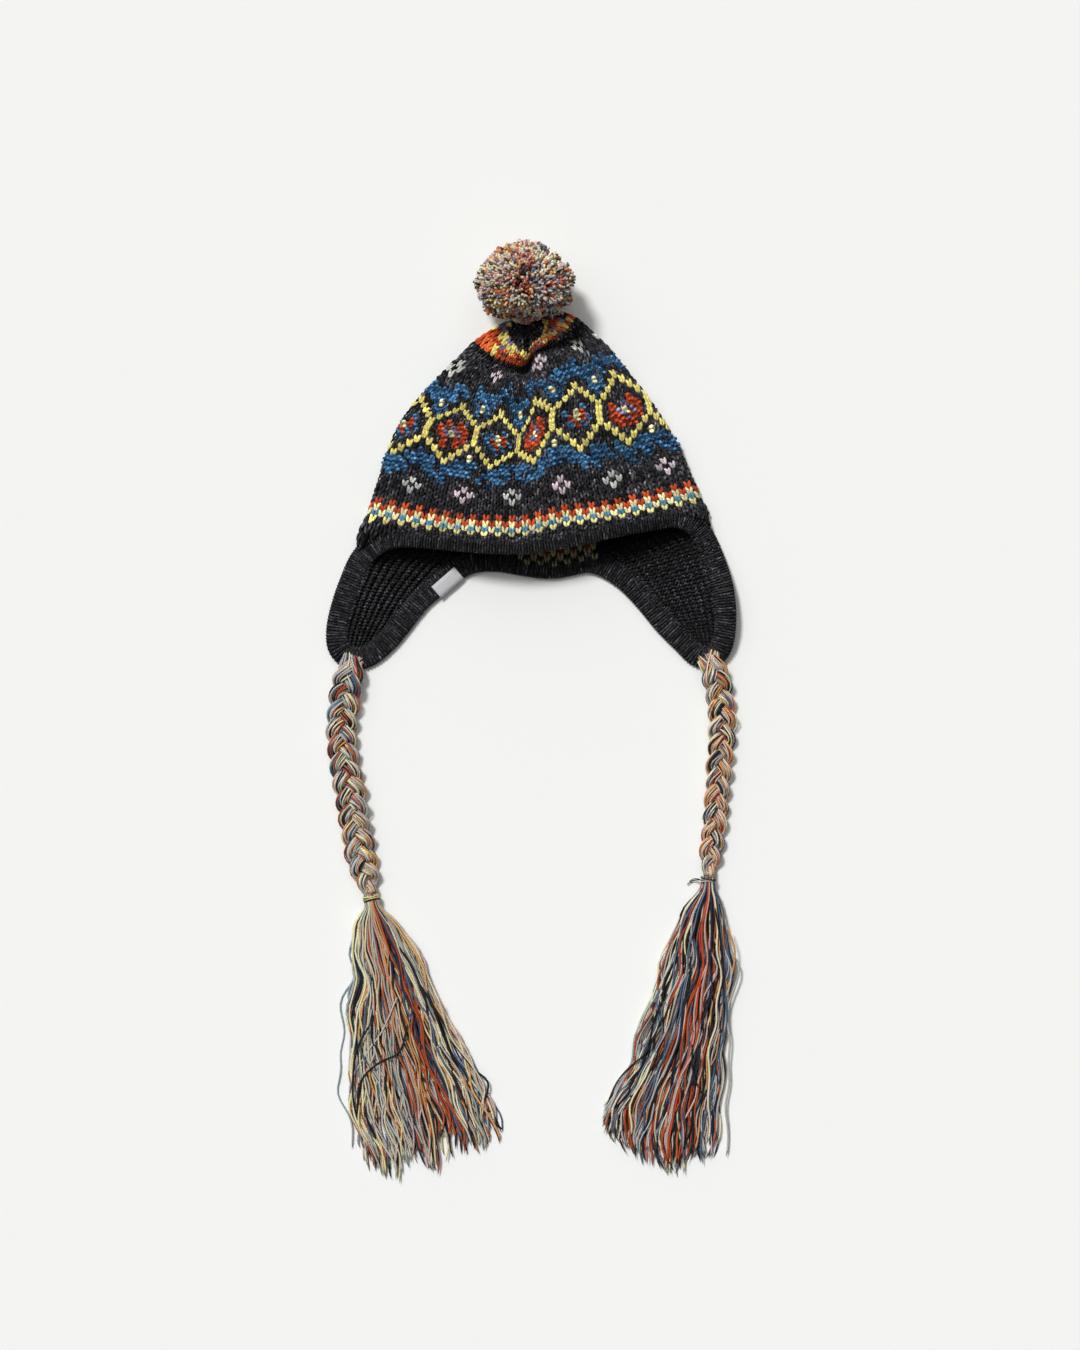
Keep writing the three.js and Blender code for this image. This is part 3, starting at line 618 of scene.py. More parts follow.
def crown_surface(course, turn, inset=0.0):
    """Point of the crown at a course and a turn: 0 to 1 crosses the front from left to right, and
    1 to 2 the back from right to left. Below course 0 the wall runs on to the binding's line.
    inset moves the point into the wall."""
    course = np.asarray(course, float)
    turn = np.mod(turn, 2.0)
    front = turn <= 1
    share = np.where(front, turn, 2 - turn)
    row = np.maximum(course, 0)
    left, right, side = (course_value(name, row) for name in ("xl", "xr", "side"))
    edge_in = np.minimum(inset, 0.2 * (right - left))
    x = left + edge_in + (right - left - 2 * edge_in) * share
    y = course_value("yl", row) + (course_value("yr", row) - course_value("yl", row)) * share \
        - course_dip(row, share)
    xl, yl, xr, yr = COURSES[0, 1:5]
    brim_y = yl + (yr - yl) * share - course_dip(np.zeros_like(share), share)
    inward = smooth(np.minimum(share, 1 - share) / EDGE_SHARE)
    reach = (1 - smooth(row / BACK_DROP_COURSES)) ** 2
    back_drop = (along_line(BACK_EDGE, xl + (xr - xl) * share) - brim_y) * reach * inward
    y = np.where(front, y, y + back_drop)
    brim = np.concatenate([LEFT_FLAP_LINE[-2:], BRIM_LINE, RIGHT_FLAP_LINE[:2]])
    low = np.where(front, along_line(brim, x), along_line(BACK_EDGE, x))
    below = np.clip(-course, 0, COURSES_BELOW) / COURSES_BELOW
    y = y + (low - y) * below
    corner = (1 - smooth(share / EDGE_SHARE)) - (1 - smooth((1 - share) / EDGE_SHARE))
    flare = np.where(corner > 0, *CORNER_FLARES)
    x = x - flare * corner * below ** 0.7
    z_front = np.maximum(front_height(row, share) - inset, side)
    z_back = np.minimum(back_height(row, share) + inset, side)
    return np.stack([x, y, np.where(front, z_front, z_back)], axis=-1)


def crown_normal(course, turn):
    """Outward direction of the crown: the cross product of small steps along both parameters."""
    a = crown_surface(course, turn + 0.004) - crown_surface(course, turn - 0.004)
    b = crown_surface(course + 0.25, turn) - crown_surface(course - 0.25, turn)
    normal = unit(np.cross(a, b))
    outward = np.where(np.mod(turn, 2.0) <= 1, normal[..., 2], -normal[..., 2])
    wrong = (outward < 0) & (np.abs(normal[..., 2]) >= 0.15)
    return normal * np.where(wrong, -1.0, 1.0)[..., None]


def between(marks, value):
    """The number of the mark before a value, and the share of the way to the next mark."""
    number = np.clip(np.searchsorted(marks, value, side="right") - 1, 0, len(marks) - 2)
    return number, np.clip((value - marks[number]) / (marks[number + 1] - marks[number]), 0, 1)


def read_marks(table, course, column):
    """A table of pattern places read at any course and at columns from the first mark onwards, with
    straight lines between; past the last mark it runs on to the first mark a turn later."""
    row, down = between(PATTERN_COURSES, course)
    place, share = between(np.append(COLUMN_MARKS, COLUMN_MARKS[0] + STITCHES_ROUND), column)
    low = table[row, place] * (1 - share) + table[row, place + 1] * share
    high = table[row + 1, place] * (1 - share) + table[row + 1, place + 1] * share
    return low * (1 - down) + high * down


TURN_TABLE = np.column_stack([COLUMN_SHARES, COLUMN_SHARES[:, 0] + 2])
COURSE_TABLE = np.column_stack([SURFACE_COURSES, SURFACE_COURSES[:, 0]])


def pattern_place(course, column):
    """The crown's own course and turn for a place in the pattern, averaged over three columns so
    that the marks leave no corners."""
    first = COLUMN_MARKS[0]
    column = np.mod(np.asarray(column, float) - first, STITCHES_ROUND) + first
    course = np.broadcast_to(np.asarray(course, float), column.shape)
    turn = np.zeros(column.shape)
    row = np.zeros(column.shape)
    for shift, weight in ((-1.5, 0.25), (0.0, 0.5), (1.5, 0.25)):
        moved = column + shift
        wrap = (moved < first) * 1.0 - (moved >= first + STITCHES_ROUND) * 1.0
        moved = moved + wrap * STITCHES_ROUND
        turn = turn + weight * (read_marks(TURN_TABLE, course, moved) - 2 * wrap)
        row = row + weight * read_marks(COURSE_TABLE, course, moved)
    return row + np.minimum(course, 0), turn


# Colourwork, charted

FOLD_SHADOW_COLUMN = 24                 # the motif here is knitted in charcoal, painted shade for the fold's shadow
BORDER_ROWS = (("straw", "charcoal"), ("teal", "cream"), ("cream", "red"), ("red", "charcoal"))
RED_FLOWER = (".R.R.", "RRMRR", "RMCMR", "RRMRR", ".RRR.")
BLUE_FLOWER = ("...B.", "BBCR.", "BRCRB", ".BRB.", "..B..")
CHART_LETTERS = {"R": "red.purl", "B": "blue.purl", "C": "cream.purl", "M": "mauve.purl",
                 ".": "charcoal"}
FLOWER_DROPS = {RED_FLOWER: 0.17, BLUE_FLOWER: 0.1}      # chance that a flower's stitch is charcoal
BAND_DROPS = {"top": 0.6, "middle": 0.14, "foot": 0.35}  # the same for the blue bands
DARK_FROM = 0.72                 # and from this draw on their blue is the darker one
LOWER_BAND = ((11, 14), (11, 13), (10, 13), (10, 12), (9, 12))      # first and last course, from the
UPPER_BAND = ((22, 26), (23, 26), (25, 27), (26, 28), (26, 29))     # hexagon's wall to its middle
TIP_SPECKS = ("red", "orange", "red", "orange", "red", "mauve", "charcoal", "yellow")
TIP_ROWS = ((0.35, "red"), (0.92, "mauve"), (0.4, "charcoal"), (0.1, "charcoal"))   # chance of
# yellow in each of the last rows, and the yarn otherwise


def chart_colour(course, column, seed):
    """The yarn of one stitch, by the pattern's own rules: it repeats every 16 columns, walls of the
    hexagons stand on every eighth, and the motifs between them take turns. The blue bands, the
    flowers and the single dots are purled, so that they stand out as bumps."""
    place = column % 16
    across = place % 8
    off_wall = min(across, 8 - across)
    diagonal = 4 - off_wall
    # the border, and the small motifs above it and near the tip
    if course < 4:
        return BORDER_ROWS[course][column % 2]
    if course < 9 or 29 <= course <= 31:
        level = course - (7 if course < 9 else 30)
        motif = (abs(level) == 1 and off_wall == 0) or (level == 0 and off_wall == 1)
        # painted shade: the motif in the fold's shadow is charcoal
        in_fold_shadow = course > 28 and abs(column - FOLD_SHADOW_COLUMN) < 2
        if in_fold_shadow or not motif:
            return "charcoal"
        return "rose" if (column + 4) // 8 % 2 == 0 else "grey"
    # single dots, the hexagons' yellow outline, the blue bands round it and the flowers within
    if (course == 14 and place == 0) or (course == 24 and off_wall == 0):
        return "cream.purl"
    if (course in (13 + diagonal, 24 - diagonal) and diagonal < 4) or \
            (17 <= course <= 20 and off_wall == 0):
        return "yellow"
    if any(band[off_wall][0] <= course <= band[off_wall][1] for band in (LOWER_BAND, UPPER_BAND)):
        speck = seed.random()
        dropped = BAND_DROPS["top" if course > 27 else "foot" if course < 12 else "middle"]
        if speck < dropped:
            return "charcoal"
        return "blue_dark.purl" if speck > DARK_FROM else "blue.purl"
    if 16 <= course <= 20 and off_wall >= 2:
        flower = RED_FLOWER if place >= 8 else BLUE_FLOWER
        dropped = seed.random() < FLOWER_DROPS[flower]
        return "charcoal" if dropped else CHART_LETTERS[flower[20 - course][across - 2]]
    # mixed rows under the tip
    if 35 <= course <= 37:
        return TIP_SPECKS[seed.integers(len(TIP_SPECKS))]
    if 38 <= course <= 41:
        chance, otherwise = TIP_ROWS[course - 38]
        return "yellow" if seed.random() < chance else otherwise
    return "charcoal"


# Stitches: how thick each kind is, and how far its colours vary in doublings, point by point along
# the yarn (fleck) and from stitch to stitch (shade)
STITCH_WIDTHS = (2.4, 5.8)       # the narrowest and the widest stitch of the crown
DOT_SIZE = 1.35                  # a purled stitch of this size is a single raised dot
SIZES = {"charcoal": 0.95, "purl": 1.04, "blue purl": 1.0, "knit": 1.28, "row or motif": 1.04}
FLECKS = (1.45, 0.4, 0.24)       # charcoal, purl and the rest
SHADES = (0.6, 0.4, 0.22)
# painted shade: the knit under a purled bump is darkened so that the gaps between the knobs look
# shadowed
PURL_GAP_PAINTED_SHADE = 0.4                 # share of its colour that the knit under a purled bump keeps
HOLLOW_PAINTED_SHADE = 0.36             # and that the carried yarns inside keep


def stitch_frame(point, out, left, right, bottom, top):
    """For many stitches, a function that turns (across, up, lift) into points on the fabric: across
    runs from -1 at a stitch's left edge to 1 at its right, up from 0 at its foot to 1 at its top,
    and lift is millimetres out of the face."""
    middle = ((left + right) / 2)[:, None]
    half = ((right - left) / 2)[:, None]
    foot = bottom[:, None]
    rise = (top - bottom)[:, None]

    def place(across, up, lift):
        column = middle + half * across
        course = foot + rise * up
        outward = out(course, column)
        return point(course, column) + outward * lift[..., None], outward

    return place


def knit_legs(place, width, bold, seed):
    """Two legs for each V-shaped stitch, thicker where the yarn is bold. A leg leans out from the
    stitch's foot, hidden in the V below, to its outer top corner; it rises out of the face by a half
    sine and is thickest halfway."""
    count = len(width)
    t = np.linspace(0, 1, 6)[None]
    legs = []
    for side in (-1, 1):
        across = side * (0.10 + 0.66 * t ** 0.85) + seed.normal(0, 0.06, (count, 1))
        longer = (bold > 1)[:, None]
        up = -0.46 - 0.08 * longer + (1.6 + 0.24 * longer) * t + seed.normal(0, 0.05, (count, 1))
        lift = width[:, None] * (0.30 * np.sin(np.pi * (0.08 + 0.8 * t)) - 0.12)
        thick = (width * bold)[:, None] * seed.uniform(0.225, 0.26, (count, 1)) \
            * np.sin(np.pi * (0.08 + 0.84 * t)) ** 0.5
        legs.append((*place(across, up, lift), thick))
    return [np.concatenate(part) for part in zip(*legs)]


def purl_bumps(place, width, bold, seed):
    """Two round knobs for each purled stitch: one in the middle that arches up, and one half a
    column along that sags between its neighbours. Bold ones are longer, thicker and prouder, and a
    dot's two knobs lie one over the other."""
    count = len(width)
    t = np.linspace(0, 1, 6)[None]
    size = bold[:, None]
    knobs = []
    for beside, level, bow, reach in ((0.0, 0.66, 0.16, 0.6), (1.0, 0.18, -0.14, 0.55)):
        middle = beside * (size != DOT_SIZE)
        across = middle + reach * size * (2 * t - 1) + seed.normal(0, 0.07, (count, 1))
        up = level + bow * np.sin(np.pi * t) + seed.normal(0, 0.07, (count, 1)) \
            + seed.normal(0, 0.14, (count, 1)) * (2 * t - 1)
        lift = width[:, None] * size * (0.3 * np.sin(np.pi * t) ** 0.7 + 0.02) \
            * seed.uniform(0.7, 1.2, (count, 1))
        thick = width[:, None] * size * seed.uniform(0.24, 0.3, (count, 1)) \
            * np.sin(np.pi * (0.1 + 0.8 * t)) ** 0.6
        knobs.append((*place(across, up, lift), thick))
    return [np.concatenate(part) for part in zip(*knobs)]


def stitch_mesh(name, parts, sides, seed):
    """One mesh from several groups of stitches, each as lines, ups and thickness for both yarns of
    every stitch, then a colour and a fleck depth for each stitch."""
    lines, ups, wide = (np.concatenate([part[k] for part in parts]) for k in range(3))
    colours, depth = (np.concatenate([part[k] for part in parts for _ in range(2)]) for k in (3, 4))
    return yarn_mesh(name, lines, ups, wide, colours, sides, 0.92, depth, seed)


def stitches_in_course(course):
    """How many stitches a course has: all of them up to the second motif, then fewer to the tip."""
    return int(np.interp(course, (0, 31, 34, 37, 40, 43, LAST_COURSE),
                         (STITCHES_ROUND, STITCHES_ROUND, 66, 48, 32, 20, 14)))


def crown_stitches(first, last):
    """Columns, courses, colours, names and widths of every stitch of the crown in a range of
    courses; below course 0 it is plain charcoal."""
    rows = {key: [] for key in ("left", "right", "bottom", "colour", "width", "name")}
    seed = np.random.default_rng(SEEDS["chart"])
    for course in range(first, last + 1):
        count = stitches_in_course(max(course, 0))
        span = STITCHES_ROUND / count
        left = np.arange(count) * span
        names = [chart_colour(course, int(c), seed) if course >= 0 else "charcoal"
                 for c in left + span / 2]
        ends = crown_point(np.full(2 * count, course + 0.5), np.concatenate([left, left + span]))
        ends = ends.reshape(2, count, 3)
        rows["left"].append(left)
        rows["right"].append(left + span)
        rows["bottom"].append(np.full(count, float(course)))
        rows["colour"].append(np.array([linear(YARN[name.split(".")[0]]) for name in names]))
        rows["name"].append(np.array(names))
        rows["width"].append(np.clip(np.linalg.norm(ends[1] - ends[0], axis=1), *STITCH_WIDTHS))
    return {key: np.concatenate(value) for key, value in rows.items()}


def crown_point(course, column):
    """Crown surface by pattern course and stitch column."""
    row, turn = pattern_place(course, column)
    return crown_surface(row, turn)


def crown_out(course, column):
    """Outward direction by pattern course and stitch column."""
    row, turn = pattern_place(course, column)
    return crown_normal(row, turn)


def inside_point(course, column):
    """The inner face of the crown's wall."""
    row, turn = pattern_place(course, column)
    return crown_surface(row, turn, WALL + 0.2)


def inside_out(course, column):
    """Into the hollow from the inner face."""
    return -crown_out(course, column)


def crown_part(rows, chosen, kind, point, out, seed):
    """One kind of stitch for the chosen places, ready to go into a mesh."""
    left, right, course, names = (rows[key][chosen] for key in ("left", "right", "bottom", "name"))
    place = stitch_frame(point, out, left, right, course, course + 1.0)
    heathered = np.char.startswith(names, "charcoal")
    purled = np.char.endswith(names, ".purl")
    blue = np.char.startswith(names, "blue")
    bold = np.where(purled, np.where(blue, SIZES["blue purl"], SIZES["purl"]),
                    np.where(heathered, SIZES["charcoal"], SIZES["knit"]))
    plain = (course < 4) | (course > 34) | np.isin(names, ("rose", "grey"))
    bold = np.where(plain & ~heathered, SIZES["row or motif"], bold)
    dots = (names == "cream.purl") & ~((course > 15) & (course < 21))
    bold = np.where(dots, DOT_SIZE, bold)
    stitches = kind(place, rows["width"][chosen], bold, seed)
    fleck, shade = (np.where(heathered, of_charcoal, np.where(purled, of_purl, of_rest))
                    for of_charcoal, of_purl, of_rest in (FLECKS, SHADES))
    tone = 2 ** (seed.normal(0, 1, (len(names), 1)) * shade[:, None])
    return (*stitches, rows["colour"][chosen] * tone, fleck)


def build_wall(lining):
    """The crown's wall as one closed fabric: up the inside from the hollow's top, round the mouth
    and up the outside to the tip, with both ends closed on their middle points."""
    around = 160
    turn = np.arange(around) / around * 2
    courses = np.concatenate([np.linspace(-COURSES_BELOW, 0, 4)[:-1], np.linspace(0, LAST_COURSE, 58)])
    v, t = grid_of(courses, turn)
    outer = crown_surface(v, t, 0.9)
    vi, ti = grid_of(courses[courses <= LAST_HOLLOW_COURSE], turn)
    inner = crown_surface(vi, ti, WALL)[::-1]
    rings = np.concatenate([inner, outer])
    start = rings.shape[0] * around
    last = start - around
    j = np.arange(around)
    k = (j + 1) % around
    triangles = np.concatenate([np.stack([np.full(around, start), k, j], axis=1),
                                np.stack([np.full(around, start + 1), last + j, last + k], axis=1)])
    tips = np.stack([inner[0].mean(axis=0), outer[-1].mean(axis=0)])
    uvs = np.stack([np.concatenate([ti[::-1], t]).ravel() * CROWN_WIDTH,
                    np.concatenate([vi[::-1], v]).ravel() * COURSE_HEIGHT], axis=1)
    wall = make_mesh("crown_fabric", np.concatenate([rings.reshape(-1, 3), tips]),
                     grid_faces(len(rings), around, close_columns=True), triangles, None,
                     np.concatenate([uvs, np.zeros((2, 2))]))
    finish_piece(wall, lining, "patterned_knit", "crown")


def build_crown(yarn, lining):
    """The wall, the stitches on its face in two pieces, front and back, and the carried yarns
    inside the back panel's border."""
    build_wall(lining)
    seed = np.random.default_rng(SEEDS["crown"])
    rows = crown_stitches(-2, LAST_COURSE)
    middle = (rows["left"] + rows["right"]) / 2
    front = np.mod(pattern_place(rows["bottom"] + 0.5, middle)[1], 2) <= 1
    purl = np.char.endswith(rows["name"], ".purl")
    # painted shade in the gaps between the purled knobs
    under = dict(rows, colour=rows["colour"] * np.where(purl, PURL_GAP_PAINTED_SHADE, 1.0)[:, None])
    for name, half, sides in (("crown_stitches_front", front, 5), ("crown_stitches_back", ~front, 3)):
        parts = [crown_part(under, half, knit_legs, crown_point, crown_out, seed),
                 crown_part(rows, half & purl, purl_bumps, crown_point, crown_out, seed)]
        finish_piece(stitch_mesh(name, parts, sides, seed), yarn, "patterned_knit")

    floats = crown_stitches(0, 4)
    turns = pattern_place(floats["bottom"] + 0.5, floats["left"])[1]
    behind = (turns > 1.29) & (turns < 1.54) & np.isin(floats["name"], ("straw", "red", "cream"))
    # painted shade: the carried yarns inside the hollow are darkened to a share of their colour
    floats["colour"] = floats["colour"] * HOLLOW_PAINTED_SHADE
    parts = [crown_part(floats, behind, knit_legs, inside_point, inside_out, seed)]
    finish_piece(stitch_mesh("crown_inside_yarns", parts, 4, seed), yarn, "patterned_knit")


# Binding

BAND_OVER_BRIM = 2.4             # at the brim the binding is narrower by this and moves over by it
RIB_RELIEF = 0.6                 # the fabric lies this far under the binding's face, and the ribs on it
RIB_THICKNESS = 0.82 * np.array([1, .8, .9, 1, 1, 1, 1, .9, .8, 1])     # across the binding


def mouth_height(x):
    """Height of the front panel's edge over the floor at x."""
    return front_height(np.zeros_like(x), (x - COURSES[0, 1]) / (COURSES[0, 3] - COURSES[0, 1]))


def band_line(samples):
    """Centre line of the binding: on the front panel's edge at the brim and flat elsewhere."""
    flat = BAND_THICKNESS / 2 + FLOOR_GAP
    brim, right, nape, left = (np.column_stack([line, np.full(len(line), flat)])
                               for line in (BRIM_LINE, RIGHT_FLAP_LINE, NAPE_LINE, LEFT_FLAP_LINE))
    for line, on_brim in ((brim, slice(None)), (right, slice(0, 1)), (left, slice(-1, None))):
        line[on_brim, 2] = mouth_height(line[on_brim, 0]) - WALL / 2
    right[1, 2] = BAND_CORNER_HEIGHT
    right[2:7, 2] += EDGE_LIFT["right"] * np.array([0.45, 0.9, 1.0, 0.75, 0.3])
    left[-2, 2] = BAND_CORNER_HEIGHT - 1
    line = spline(np.concatenate([brim, right, nape, left]), True, samples)
    line[:, 2] = np.maximum(line[:, 2], flat)
    return line


def build_binding(fabric, yarn):
    """The binding: a rounded flat tube swept along its line, with a superellipse for its section,
    and over its upper face a raised rib across it at every second station."""
    line = band_line(2 * BAND_RIBS)
    travelled = distance_along(line)
    loop = np.concatenate([line[-1:], line, line[:1]])
    along = unit(loop[2:] - loop[:-2])
    lean = BRIM_TILT * smooth((line[:, 2] - 8) / 20)
    level = unit(np.column_stack([along[:, 1], -along[:, 0], np.zeros(len(line))]))
    across = level * np.cos(lean)[:, None]
    across[:, 2] = -np.sin(lean)
    across = unit(across)
    up = unit(np.cross(along, across))
    over_brim = BAND_OVER_BRIM * smooth((line[:, 2] - 6) / 14)
    half_width = BAND_WIDTH / 2 - over_brim - 0.3
    half_height = BAND_THICKNESS / 2 - RIB_RELIEF
    line = line + across * over_brim[:, None]

    sides = 12
    angle = 2 * np.pi * np.arange(sides) / sides
    wide, high = box_round(angle)
    points = (line[:, None] + across[:, None] * (half_width[:, None] * wide)[..., None]
              + up[:, None] * (half_height * high)[None, :, None])
    uvs = np.stack(np.broadcast_arrays(travelled[:, None], angle[None] * 6), axis=-1)
    faces = grid_faces(len(line), sides, close_rows=True, close_columns=True)[:, ::-1]
    base = make_mesh("rim_binding_rib", points.reshape(-1, 3), faces, None, None, uvs.reshape(-1, 2))
    finish_piece(base, fabric, "charcoal_rib", "rim_binding")

    seed = np.random.default_rng(SEEDS["binding"])
    wide, high = box_round(np.linspace(-0.06, 1.06, len(RIB_THICKNESS)) * np.pi)
    crest = slice(0, None, 2)
    sway = 0.22 * slow_noise(seed, BAND_RIBS, len(RIB_THICKNESS), 1.5)
    ribs = (line[crest, None] + across[crest, None] * (half_width[crest, None] * wide)[..., None]
            - up[crest, None] * ((half_height + 0.3) * high)[None, :, None]
            + along[crest, None] * sway[..., None])
    ups = unit(ribs - line[crest, None])
    thick = np.broadcast_to(RIB_THICKNESS, ribs.shape[:2]) * seed.uniform(0.9, 1.1, (BAND_RIBS, 1))
    colours = np.tile(linear(YARN["charcoal"]), (BAND_RIBS, 1)) \
        * 2 ** seed.normal(0.15, 0.3, (BAND_RIBS, 1))
    ribbing = yarn_mesh("rim_binding_ribs", ribs, ups, thick, colours,
                        fleck_depth=np.full(BAND_RIBS, 1.1), seed=seed)
    finish_piece(ribbing, yarn, "charcoal_rib")


# Ear flaps

FLAP_RIBS = 11
FLAP_EDGES = {                   # first outer point, outer and inner edge from the top down, top's x
    "left": ((-118, -72), LEFT_FLAP_LINE[10:4:-1], LEFT_FLAP_LINE[:5], (-118, -54.5)),
    "right": ((123, -58), RIGHT_FLAP_LINE[1:8], RIGHT_FLAP_LINE[:7:-1], (123, 56)),
}
FLAP_SPLINES = {}


def flap_lines(side):
    """The outer, inner and upper edges of one flap, each as an evenly sampled smooth line."""
    if side not in FLAP_SPLINES:
        first, outer, inner, ends = FLAP_EDGES[side]
        xs = np.linspace(*ends, 7)
        top = np.column_stack([xs, along_line(BACK_EDGE, xs) + 3.0])
        FLAP_SPLINES[side] = [spline(line, False, 200)
                              for line in (np.concatenate([[first], outer]), inner, top)]
    return FLAP_SPLINES[side]


def read_line(line, share):
    """Points of a sampled line at shares from 0 to 1."""
    return np.stack([ramp(line[:, 0], share), ramp(line[:, 1], share)], axis=-1)


def flap_surface(side, down, across, face=1.0):
    """Point of a flap's face: the straight line between its outer and inner edge at the same share
    of the way down, bent at the top to meet the back panel. Ribs run down it as a cosine."""
    outer, inner, top = flap_lines(side)
    a = read_line(outer, down)
    b = read_line(inner, down)
    straight = a + (b - a) * across[..., None]
    first = outer[0] + (inner[0] - outer[0]) * across[..., None]
    xy = straight + (read_line(top, across) - first) * ((1 - down) ** 2)[..., None]
    bow = np.sin(np.pi * np.clip(down, 0, 1))
    hollow = 0.4 * (np.sin(np.pi * across) * bow)
    rib = 0.95 * np.cos(2 * np.pi * FLAP_RIBS * across)
    lift = 0.85 * EDGE_LIFT[side] * (1 - across) ** 2 * bow
    z = np.where(face > 0, FLAP_THICKNESS - 1.2 + hollow + rib, 0.15) + lift
    return np.concatenate([xy, z[..., None]], axis=-1)


def build_flap_slab(side, fabric):
    """The flap's ribbed slab: its face and its underside, joined round the edge and at both ends."""
    columns = 73
    rows = 40
    v, u = grid_of(np.linspace(-0.03, 1, rows), np.linspace(0, 1, columns))
    both = np.concatenate([flap_surface(side, v, u), flap_surface(side, v, u, -1.0)[:, ::-1]], axis=1)
    width = 2 * columns
    j = np.arange(columns - 1)
    end = np.stack([j, j + 1, width - 2 - j, width - 1 - j], axis=1)
    quads = np.concatenate([grid_faces(rows, width, close_columns=True), end,
                            (end + (rows - 1) * width)[:, ::-1]])
    if side == "left":
        quads = quads[:, ::-1]
    uvs = np.stack([np.concatenate([u, u[:, ::-1]], axis=1) * 80,
                    np.concatenate([v, v], axis=1) * 90], axis=-1).reshape(-1, 2)
    slab = make_mesh(f"earflap_{side}_fabric", both.reshape(-1, 3), quads, None, None, uvs)
    finish_piece(slab, fabric, "charcoal_rib", f"earflap_{side}")


def build_flap(side, fabric, yarn):
    """One flap: its slab, with small purled stitches on the upper face, two to each rib and course."""
    build_flap_slab(side, fabric)
    courses = 36
    seed = np.random.default_rng(SEEDS["flap"])
    course, rib, half = (table.ravel() for table in np.meshgrid(
        np.arange(courses), np.arange(-1, FLAP_RIBS + 1), (0, 1), indexing="ij"))
    crest = rib / FLAP_RIBS
    edge = crest + (2 * half - 1) * 0.42 / FLAP_RIBS
    inside = (edge > 0.01) & (edge < 0.99)
    course, left, right = course[inside] / courses, edge[inside], crest[inside]
    count = len(course)
    ends = flap_surface(side, course + 0.5 / courses, np.stack([left, right]))
    width = np.clip(np.linalg.norm((ends[1] - ends[0])[:, :2], axis=1), 0.7, 3.2)
    place = stitch_frame(lambda c, k: flap_surface(side, c, k),
                         lambda c, k: np.broadcast_to(UP, c.shape + (3,)),
                         left, right, course + 1 / courses, course)
    stitches = purl_bumps(place, width, np.full(count, 1.45), seed)
    shade = 1.3 * 2 ** seed.normal(0, 0.7, (count, 1))
    # painted shade: the flap's stitches grow darker towards the mouth, where the brim's shadow falls
    shade = shade * (0.3 + 0.7 * smooth(course / 0.38))[:, None]     # dimmer inside the mouth
    colours = np.tile(linear(YARN["charcoal"]), (count, 1)) * shade
    parts = [(*stitches, colours, np.full(count, 1.0))]
    finish_piece(stitch_mesh(f"earflap_{side}_stitches", parts, 4, seed), yarn, "charcoal_rib")


# Pompom

POMPOM_MIX = {"ecru": 20, "red": 6, "blue": 4, "navy": 10, "beige": 22, "charcoal": 8, "sky": 8,
              "amber": 8, "rust": 14, "slate": 10, "silver": 14, "yellow": 6}
POMPOM_YARNS = 4400
POMPOM_TUFTS = 130


def mixed_colours(seed, count, mix):
    """Yarn colours drawn by weight, each a little lighter or darker."""
    palette = np.array([linear(YARN[name]) for name in mix])
    weights = np.array(list(mix.values()), float)
    chosen = palette[seed.choice(len(mix), count, p=weights / weights.sum())]
    return chosen * seed.uniform(0.8, 1.12, (count, 1))


def sphere_directions(count):
    """Evenly spread directions: heights in equal steps, turned by the golden angle."""
    number = np.arange(count)
    z = 1 - 2 * (number + 0.5) / count
    turn = number * math.pi * (3 - math.sqrt(5))
    flat = np.sqrt(1 - z * z)
    return np.stack([flat * np.cos(turn), flat * np.sin(turn), z], axis=1)


def build_pompom(yarn):
    """Cut yarn ends that stand out from the middle: lines on spread directions, each drawn a third
    of the way towards its tuft's direction, trimmed to a ball and kept above the floor."""
    seed = np.random.default_rng(SEEDS["pompom"])
    each = (POMPOM_YARNS, 3)
    out = unit(sphere_directions(POMPOM_YARNS) + seed.normal(0, 0.06, each))
    lean = unit(out + seed.normal(0, 0.75, each))
    tuft = unit(sphere_directions(POMPOM_TUFTS) + seed.normal(0, 0.12, (POMPOM_TUFTS, 3)))
    nearest = np.argmax(out @ tuft.T, axis=1)
    trim = 1 - 0.27 * smooth((-out[:, 1] - 0.3) / 0.55) - 0.06 * smooth((out[:, 1] - 0.3) / 0.6)
    reach = POMPOM_RADIUS * (0.985 + np.clip(seed.normal(0, 0.03, POMPOM_YARNS), -0.1, 0.04)) * trim
    reach = reach * (1 + seed.normal(0, 0.035, POMPOM_TUFTS))[nearest]
    t = np.array([0, 0.35, 0.75, 0.985, 1.0])
    foot = out * (POMPOM_RADIUS * 0.62)
    gathered = unit(0.68 * out + 0.32 * tuft[nearest] + seed.normal(0, 0.05, each))
    tip = gathered * reach[:, None]
    bend = (lean - out) * 6.0
    lines = foot[:, None] + (tip - foot)[:, None] * t[None, :, None] \
        + bend[:, None] * (t ** 2)[None, :, None]
    lines = lines + POMPOM_CENTRE + POMPOM_SAG
    lines[..., 2] = np.maximum(lines[..., 2], 1.2)
    up = unit(np.cross(out, seed.normal(0, 1, each)))
    ups = np.broadcast_to(up[:, None], lines.shape)
    wide = 0.92 * np.array([0.8, 0.9, 1.0, 1.08, 0.0])[None] * np.ones((POMPOM_YARNS, 1))
    shared = mixed_colours(seed, POMPOM_TUFTS, POMPOM_MIX)[nearest]
    own = mixed_colours(seed, POMPOM_YARNS, POMPOM_MIX)
    colours = 1.15 * np.where(seed.random((POMPOM_YARNS, 1)) < 0.3, shared, own)
    colours = 0.88 * colours + 0.12 * colours.mean(axis=0)
    finish_piece(yarn_mesh("pompom_yarns", lines, ups, wide, colours), yarn, "mixed_yarn", "pompom")


